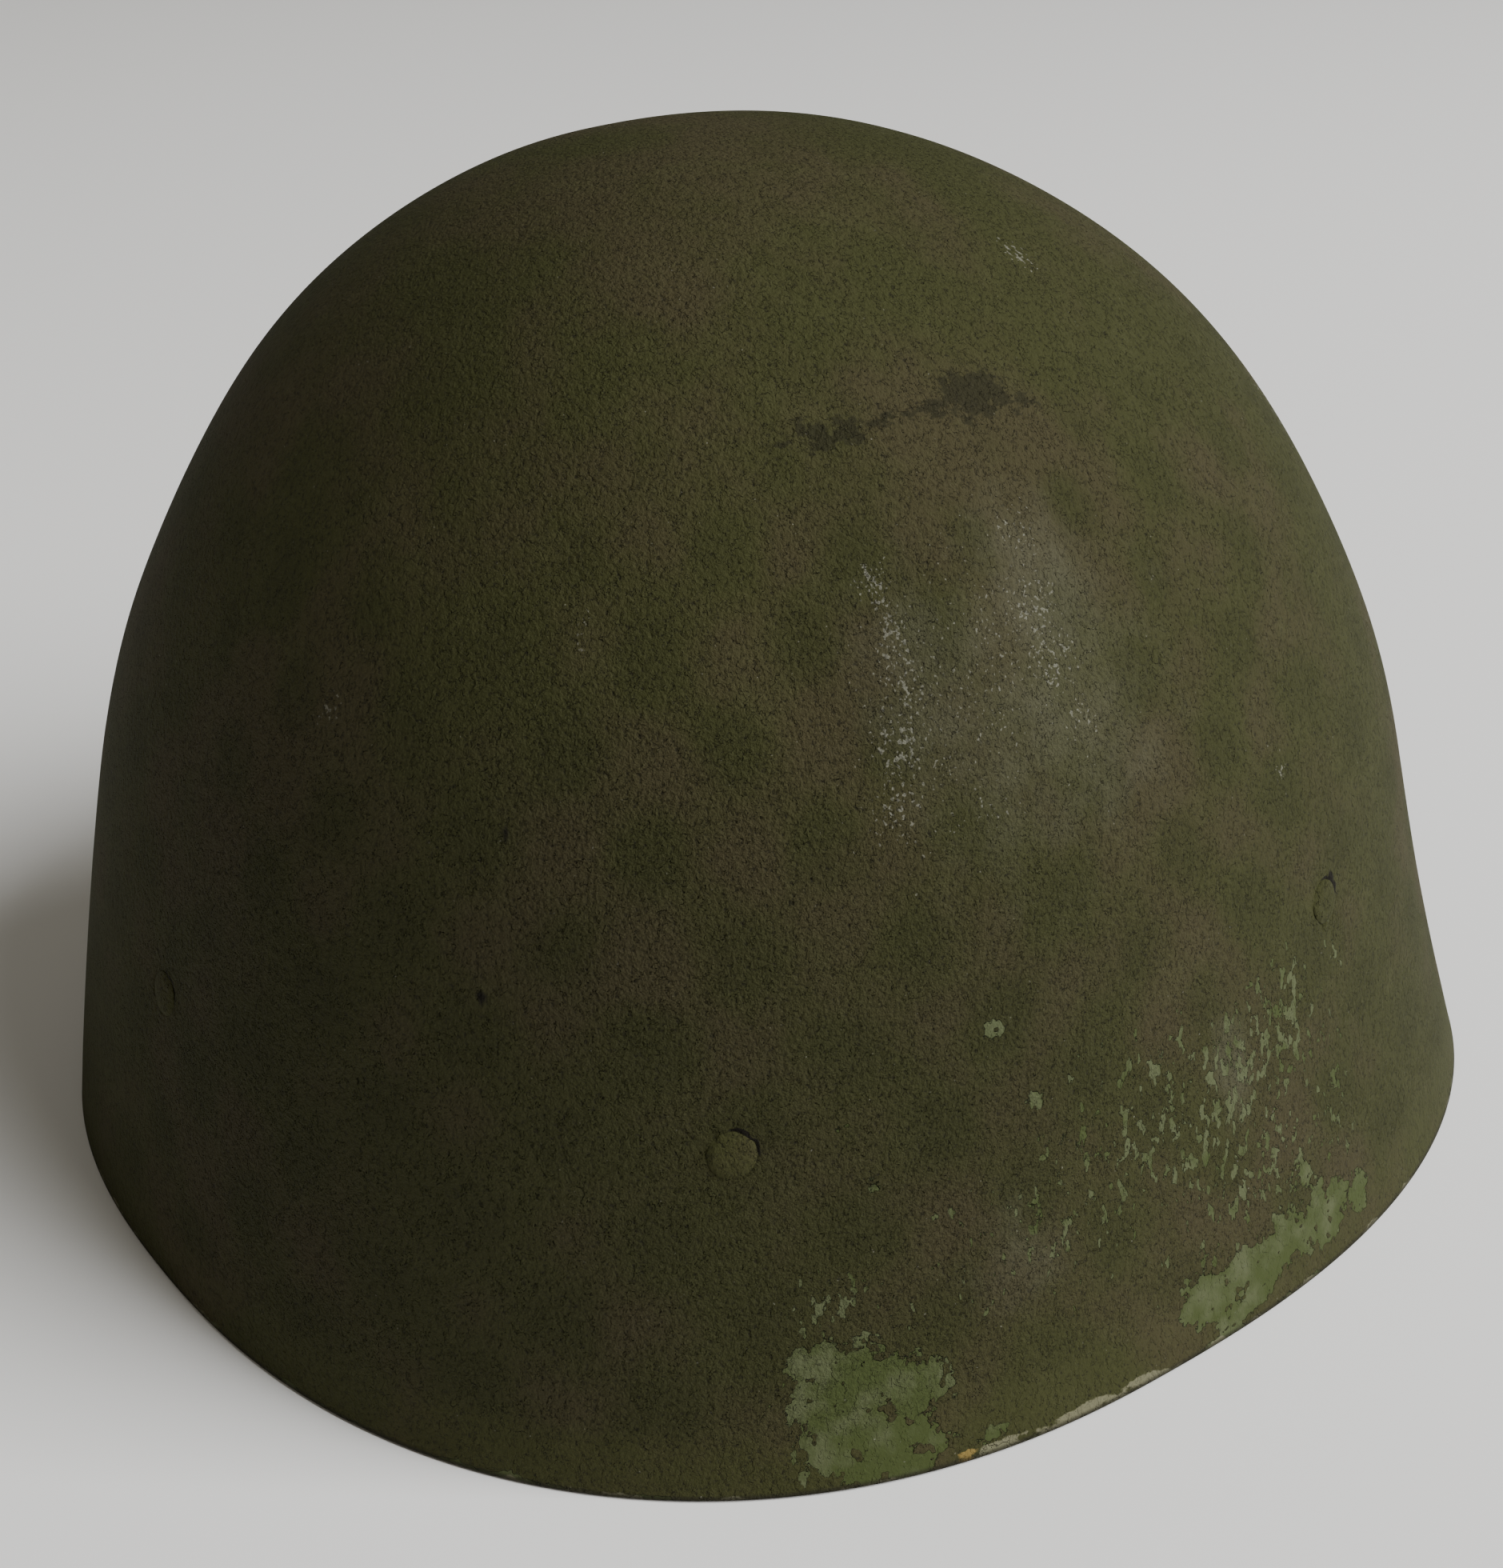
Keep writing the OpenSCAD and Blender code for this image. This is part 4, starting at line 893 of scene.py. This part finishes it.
# Crown lace: a twisted cord through the hems, knotted at the rear
def tube(shape, line, girth, closed=False, finish=0, sides=10):
    along = alongLine(line, closed)
    side = np.zeros_like(line)
    start = np.cross(along[0], [0, 0, 1.0])
    side[0] = start if np.linalg.norm(start) > 0.1 else np.cross(along[0], [1.0, 0, 0])
    for i in range(1, len(line)):
        side[i] = side[i - 1] - along[i] * (side[i - 1] @ along[i])
        side[i] /= np.linalg.norm(side[i])
    side[0] /= np.linalg.norm(side[0])
    girth = np.broadcast_to(girth, (len(line),))[:, None, None]
    grid = line[:, None] + circleOf(side, np.cross(along, side), sides) * girth
    if closed:
        shape.addGrid(grid, finish, wrapRows=True)
    else:
        shape.addClosed(grid, finish)


def strands(line, radius, twist, count, closed=False):   # that many strands laid round a line
    along = alongLine(line, closed)
    side = unitRows(np.cross(along, [0.13, 0.2, 0.97]))
    up = np.cross(along, side)
    share = np.linspace(0, 1, len(line), endpoint=not closed)
    for k in range(count):
        angle = fullTurn * (twist * share + k / count)
        yield line + radius * (side * np.cos(angle)[:, None] + up * np.sin(angle)[:, None])


def buildLace():
    shape = Shape()
    ring = around(720)
    hoop = polar(ring, np.full_like(ring, liner["laceRing"]), np.full_like(ring, laceHeight))
    thick = liner["lace"]
    for strand in strands(hoop, thick * 0.5, 26, 3, closed=True):
        tube(shape, strand, thick * 0.53, closed=True)
    knotAt = polar(np.array(math.pi), np.array(liner["laceRing"]), np.array(laceHeight))
    t = around(200)
    loop = np.stack([(np.sin(t) + 2 * np.sin(2 * t)) * 0.85, -np.sin(3 * t) * 0.85,
                     (np.cos(t) - 2 * np.cos(2 * t)) * 0.7], -1)
    for strand in strands(knotAt + loop, thick * 0.36, 9, 3, closed=True):
        tube(shape, strand, thick * 0.42, closed=True, sides=8)
    for side in (-1, 1):
        tilt, spread = math.radians(200), math.radians(28 * side)
        way = np.array([math.sin(spread) * math.cos(tilt), -math.sin(tilt),
                        math.cos(spread) * math.cos(tilt)])
        share = np.linspace(0, 1, 60)[:, None]
        bow = np.array([side, 0.6, 0.4])
        line = knotAt + way * 15.4 * share + bow * np.sin(share * math.pi)
        for strand in strands(line, thick * 0.45, 3.2, 3):
            tube(shape, strand, thick * 0.5 * (1 - 0.25 * (share[:, 0] > 0.96)), sides=8)
        cross = unitRows(np.cross(way, [1.0, 0, 0]))
        for turn in range(5):        # each end is whipped with thread
            middle = knotAt + way * (12.9 + turn * 0.5) + bow * math.sin(2.7)
            ring = middle + 1.25 * circleOf(cross, np.cross(way, cross), 20)
            tube(shape, ring, 0.27, closed=True, finish=1, sides=6)
    shape.make("crownLace", "helmet", [cottonCord, linenThread], ["crown_lace"], "lace_cord")


buildLace()

# Chin strap, drawn beside the +X ear as [x, height], the short half mirrored
strap = {
    "wire": 1.3, "pivotGap": 0.08, "plate": 1.0, "eyeDrop": 17.0, "ring": 15.0, "width": 18.0, "leather": 2.0,
    "slope": math.radians(35), "bend": 20.0, "buckle": 22.0, "fold": 15.0, "foldRadius": 7.5,
    "foldLength": 52.0, "hole": 1.7, "holeStep": 9.0, "holeStart": 14.0, "lap": 15.0, "buckleLap": 16.0,
    "keeper": 1.2, "keeperGap": 0.3, "keeperWidth": 9.0,
    "slotWidth": 4.4, "slotLength": 12.5, "slotStart": 5.0,
}
eyeRadius = strap["wire"] + strap["pivotGap"]
eyeOut = liner["seatGap"] + eyeRadius + strap["plate"]
bandAtEar = np.array([shellSize["crownSide"] - liner["bandInset"], rivetSet["height"]])
eyePoint = bandAtEar + eyeOut * np.array([math.cos(bandLean), math.sin(bandLean)]) \
    + strap["eyeDrop"] * np.array([math.sin(bandLean), -math.cos(bandLean)])
barPoint = eyePoint - [0, strap["ring"]]
groundHeight = (strap["width"] / 2 + strap["wire"] + 2) * math.tan(shellSize["lean"]) + 0.4
shortHeight = groundHeight + strap["keeper"] + strap["keeperGap"] + strap["leather"] / 2
longHeight = groundHeight + strap["leather"] / 2
plyStep = strap["leather"] * 0.98
loopMiddle = eyeRadius + strap["leather"] / 2


def ringEnd():               # from the short ply's end, round the ring's bar, to the main ply
    down = np.array([-math.sin(strap["slope"]), -math.cos(strap["slope"])])
    outward = np.array([math.cos(strap["slope"]), -math.sin(strap["slope"])])
    points = [barPoint + down * s + outward * plyStep for s in (strap["lap"], 12, 9.5, 7.2)]
    points += [barPoint + down * 4.4 + outward * (plyStep + 0.18), barPoint + down * 2 + outward * loopMiddle]
    for angle in np.radians(np.arange(0, 181, 15)):
        points.append(barPoint + loopMiddle * (outward * math.cos(angle) - down * math.sin(angle)))
    points += [barPoint + down * 1.6 - outward * loopMiddle * 0.93, barPoint + down * 3.6 - outward * 1.35,
               barPoint + down * 5.6 - outward * 0.45, barPoint + down * 7.6]
    return points


def hang(level):             # down to where the strap lies flat
    turn = math.pi / 2 - strap["slope"]
    run = (barPoint[1] - level - strap["bend"] * (1 - math.cos(turn))) / math.cos(strap["slope"])
    bend = barPoint - run * np.array([math.sin(strap["slope"]), math.cos(strap["slope"])])
    middle = bend + strap["bend"] * np.array([-math.cos(strap["slope"]), math.sin(strap["slope"])])
    points = [barPoint + (bend - barPoint) * s for s in np.linspace(9.5 / run, 1, 5)]
    for angle in turn * (1 - np.linspace(0.12, 1, 8)):
        points.append(middle + strap["bend"] * np.array([math.sin(angle), -math.cos(angle)]))
    return points


def evenly(points, step):    # the line through the points, sampled that far apart
    line = smoothProfile(points)
    run = runOf(line)
    return sampled(line, run, np.linspace(0, run[-1], int(run[-1] / step) + 1))


def flatRun(start, stop, height, count):     # points along a part that lies flat
    return [np.array([x, height]) for x in np.linspace(start, stop, count)]


def halfTurn(centre, radius):        # points from under the centre round to above it
    return [centre + radius * np.array([math.cos(angle), math.sin(angle)])
            for angle in np.radians(np.arange(270, 89, -15))]


def upFrom(line):            # across a strap's line, towards its upper face
    along = alongLine(line)
    return np.stack([-along[:, 1], along[:, 0]], -1)


def ribbon(shape, line, widths, seed):
    across, lift = squarish(around(44), (0.42, 0.22))
    lift = lift * (1 - 0.12 * smoothStep(np.abs(across), 0.86, 0.98))
    y = across[None, :] * widths[:, None] / 2
    point = line[:, None] + upFrom(line)[:, None] * (lift * strap["leather"] / 2)[None, :, None]
    grid = np.stack([point[..., 0], y, point[..., 1]], -1)
    ripple = 0.07 * softNoise(grid, 9, seed)
    grid[..., 2] += ripple * smoothStep(np.abs(lift), 0.5, 0.9)[None, :]
    grid[..., 1] += 0.12 * softNoise(line[:, [0, 0, 1]], 12, seed + 1)[:, None]
    edge = smoothStep(np.abs(across), 0.9, 0.99)[None, :] + np.zeros((len(line), 1))
    edge[:2] = 1
    edge[-2:] = 1
    shape.addClosed(grid, edge=edge)


def strapStitches(shape, line, widths, first, last):     # a row along each edge, on both faces
    line, up, widths = line[first:last], upFrom(line)[first:last], widths[first:last]
    for side in (-1, 1):
        for face in (-1, 1):
            spot = line + up * face * (strap["leather"] / 2 + 0.06)
            row = np.stack([spot[:, 0], side * (widths / 2 - 2.1), spot[:, 1]], -1)
            addStitches(shape, row, np.stack([up[:, 0] * face, 0 * widths, up[:, 1] * face], -1), 0)


def cutThrough(piece, cutters):          # takes the cutters out of the piece for good
    for cutter in cutters:
        cut = piece.modifiers.new("cut", "BOOLEAN")
        cut.operation, cut.object, cut.solver = "DIFFERENCE", cutter, "EXACT"
    settled = bpy.data.meshes.new_from_object(piece.evaluated_get(bpy.context.evaluated_depsgraph_get()))
    piece.modifiers.clear()
    piece.data = settled
    for cutter in cutters:
        bpy.data.objects.remove(cutter)


def cutterOf(outline, low, high, mirrored=False):    # an upright prism over an outline in X and Y
    shape = Shape()
    shape.addClosed(np.array([np.column_stack([outline, np.full(len(outline), z)]) for z in (low, high)]))
    return intoScene("cutter", shape.toMesh("cutter", mirrored))


def makeStrap(which, line, widths, seed, cutters, last, mirrored=False):     # leather, cuts and thread
    name, body = "chinStrap" + which.capitalize(), which + "_strap"
    shape, thread = Shape(), Shape()
    ribbon(shape, line, widths, seed)
    piece = shape.make(name, body, [strapLeather], ["strap_" + which], "strap_leather", mirrored=mirrored)
    cutThrough(piece, cutters)
    strapStitches(thread, line, widths, 26, len(line) - last)    # from past the loop round the ring
    thread.make(name + "Thread", body, [linenThread], (), "strap_leather", mirrored=mirrored)


def buildLongStrap():
    level, radius = longHeight, strap["foldRadius"]
    top = level + 2 * radius
    tip = strap["fold"] + strap["foldLength"]
    points = ringEnd() + hang(level)
    points += flatRun(points[-1][0] - 6, strap["fold"] + 4, level, 6)
    points += halfTurn(np.array([strap["fold"], level + radius]), radius)
    points += flatRun(strap["fold"] + 5, tip, top, 8)
    line = evenly(points, 0.8)
    run = runOf(line)
    fromTip = np.minimum((run[-1] - run) / (strap["width"] / 2), 1)      # rounded over its last half width
    widths = 6 + 12 * np.sqrt(np.clip(1 - (1 - fromTip) ** 2, 0, 1))
    hole = circleOf(np.array([1, 0]), np.array([0, 1]), 28) * strap["hole"]
    places = [tip - strap["holeStart"] - number * strap["holeStep"] for number in range(5)]
    makeStrap("long", line, widths, 201, [cutterOf(hole + [x, 0], top - 2, top + 2) for x in places], 12)


def buildShortStrap():
    level = shortHeight
    bar = np.array([strap["buckle"], level + loopMiddle])
    points = ringEnd() + hang(level)
    points += flatRun(points[-1][0] - 5, strap["buckle"] + 1, level, 6)
    points += halfTurn(bar, loopMiddle)
    points += [bar + [2.2, loopMiddle - 0.1], bar + [4.6, loopMiddle - 1.3],
               bar + [7, plyStep - loopMiddle + 0.25]]
    points += [np.array([strap["buckle"] + x, level + plyStep]) for x in (8.5, 11, 13.5, strap["buckleLap"])]
    line = evenly(points, 0.8)
    half = strap["slotWidth"] / 2
    turn = np.linspace(-math.pi / 2, math.pi / 2, 8)
    begin = strap["buckle"] - strap["slotStart"]
    end = begin + strap["slotLength"]
    outline = [(end - half + half * math.cos(a), half * math.sin(a)) for a in turn] \
        + [(begin + half - half * math.cos(a), -half * math.sin(a)) for a in turn]
    slot = cutterOf(outline, level - 3, level + 12, mirrored=True)
    makeStrap("short", line, np.full(len(line), strap["width"]), 211, [slot], 34, mirrored=True)


buildLongStrap()
buildShortStrap()


def buildKeeper():           # a narrow leather loop round both plies of the short half
    level = shortHeight - strap["leather"] / 2 - strap["keeperGap"]
    high = 2 * strap["leather"] + 2 * strap["keeperGap"]
    wide = strap["width"] + 2 * strap["keeperGap"]
    thick = strap["keeper"]
    y, z = squarish(around(96), (0.16, 0.3))
    centre = np.stack([y * (wide + thick) / 2, level + high / 2 + z * (high + thick) / 2], -1)
    along = alongLine(centre, True)
    outward = np.stack([along[:, 1], -along[:, 0]], -1)
    start = strap["buckle"] + strap["buckleLap"] + 2
    section = around(24)
    across, lift = squarish(section, (0.3, 0.4))
    point = centre[:, None] + outward[:, None] * (lift * thick / 2 * 0.96)[None, :, None]
    x = start + strap["keeperWidth"] / 2 * (1 + across)[None, :] + 0 * point[..., 0]
    grid = np.stack([x, point[..., 0], point[..., 1]], -1)
    shape = Shape()
    edge = smoothStep(np.abs(np.cos(section)), 0.8, 0.97)[None, :] + 0 * x
    shape.addGrid(grid, wrapRows=True, edge=edge)
    shape.make("strapKeeper", "keeper", [strapLeather], ["strap_keeper"], "strap_leather", mirrored=True)


buildKeeper()


# Small steel parts keep their CAD shape, with their sharp edges eased
def finishSteel(node, material, ease):
    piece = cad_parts[node]
    piece.data.materials.clear()
    piece.data.materials.append(material)
    weld = piece.modifiers.new("weld", "WELD")
    weld.merge_threshold = 0.000002
    bevel = piece.modifiers.new("ease", "BEVEL")
    bevel.width, bevel.segments, bevel.limit_method, bevel.angle_limit = ease, 2, "ANGLE", math.radians(50)


for node in ("rivet_washers", "distance_collars", "ring_plate_left", "ring_plate_right", "plate_rivets"):
    finishSteel(node, linerSteel, 0.00012)
for node in ("strap_ring_left", "strap_ring_right", "strap_rivets_short", "strap_rivet_long", "buckle_frame",
             "buckle_prong", "buckle_roller"):
    finishSteel(node, fittingSteel, 0.0001)
print("steel parts finished")

# Floor, light and camera
studio = {
    "floor": "#e9e7e3", "floorSize": 14.0,
    "skyColour": "#f2eee2", "skyStrength": 0.20,
}
lights = {                   # places are right of, towards and above the viewer's aim
    "window": {"power": 335.0, "size": 2.6, "colour": "#f0f2f5", "place": (2.7, 0.9, 2.5)},
    "fill": {"power": 2.2, "size": 1.8, "colour": "#f3ead6", "place": (-1.2, 0.9, 1.1)},
}


def buildFloor():
    half = studio["floorSize"] / 2
    mesh = bpy.data.meshes.new("floor")
    corners = [(-half, -half, 0), (half, -half, 0), (half, half, 0), (-half, half, 0)]
    mesh.from_pydata(corners, [], [(0, 1, 2, 3)])
    floor = intoScene("floor", mesh)
    material, _, shader, _ = startMaterial("paleTable", Roughness=0.7)
    shader.inputs["Base Color"].default_value = toLinear(studio["floor"])
    mesh.materials.append(material)


camera = {                   # the photograph's view, fitted to the helmet's outline
    "azimuth": math.radians(53.59), "elevation": math.radians(26.55), "roll": math.radians(0.51),
    "distance": 0.4394, "aimHeight": 0.0548, "aimAside": -0.01274,
    "focalPixels": 2900.0, "frameWide": 1879, "frameHigh": 1960, "centreX": 910.4, "centreY": 962.15,
}


def viewAxes():
    az, el = camera["azimuth"], camera["elevation"]
    back = Vector((math.sin(az) * math.cos(el), -math.cos(az) * math.cos(el), math.sin(el)))
    right = Vector((math.cos(az), math.sin(az), 0))
    return back, right, back.cross(right)


def placeCamera():
    back, right, up = viewAxes()
    roll = camera["roll"]
    lens = bpy.data.cameras.new("camera")
    lens.sensor_width = 36
    lens.lens = camera["focalPixels"] * 36 / camera["frameHigh"]
    lens.shift_x = -(camera["centreX"] - camera["frameWide"] / 2) / camera["frameHigh"]
    lens.shift_y = (camera["centreY"] - camera["frameHigh"] / 2) / camera["frameHigh"]
    eye = intoScene("camera", lens)
    aim = Vector((0, 0, camera["aimHeight"])) + right * camera["aimAside"]
    across = right * math.cos(roll) + up * math.sin(roll)
    upward = up * math.cos(roll) - right * math.sin(roll)
    turned = Matrix((across, upward, back)).transposed().to_4x4()
    eye.matrix_world = Matrix.Translation(aim + back * camera["distance"]) @ turned
    bpy.context.scene.camera = eye


def addLight(name, look, place, aim):
    light = bpy.data.lights.new(name, "AREA")
    light.size, light.energy, light.color = look["size"], look["power"], toLinear(look["colour"])[:3]
    lamp = intoScene(name, light)
    lamp.location = place
    lamp.rotation_euler = (aim - place).to_track_quat("-Z", "Y").to_euler()


def lightStudio():
    back, right, _ = viewAxes()
    world = bpy.data.worlds.new("studio")
    world.use_nodes = True
    sky = world.node_tree.nodes["Background"]
    sky.inputs["Color"].default_value = toLinear(studio["skyColour"])
    sky.inputs["Strength"].default_value = studio["skyStrength"]
    bpy.context.scene.world = world
    aim = Vector((0, 0, 0.07))
    towards = Vector((back.x, back.y, 0)).normalized()
    for name, look in lights.items():
        aside, near, high = look["place"]
        addLight(name, look, aim + right * aside + towards * near + Vector((0, 0, high)), aim)


buildFloor()
placeCamera()
lightStudio()
print("studio ready")
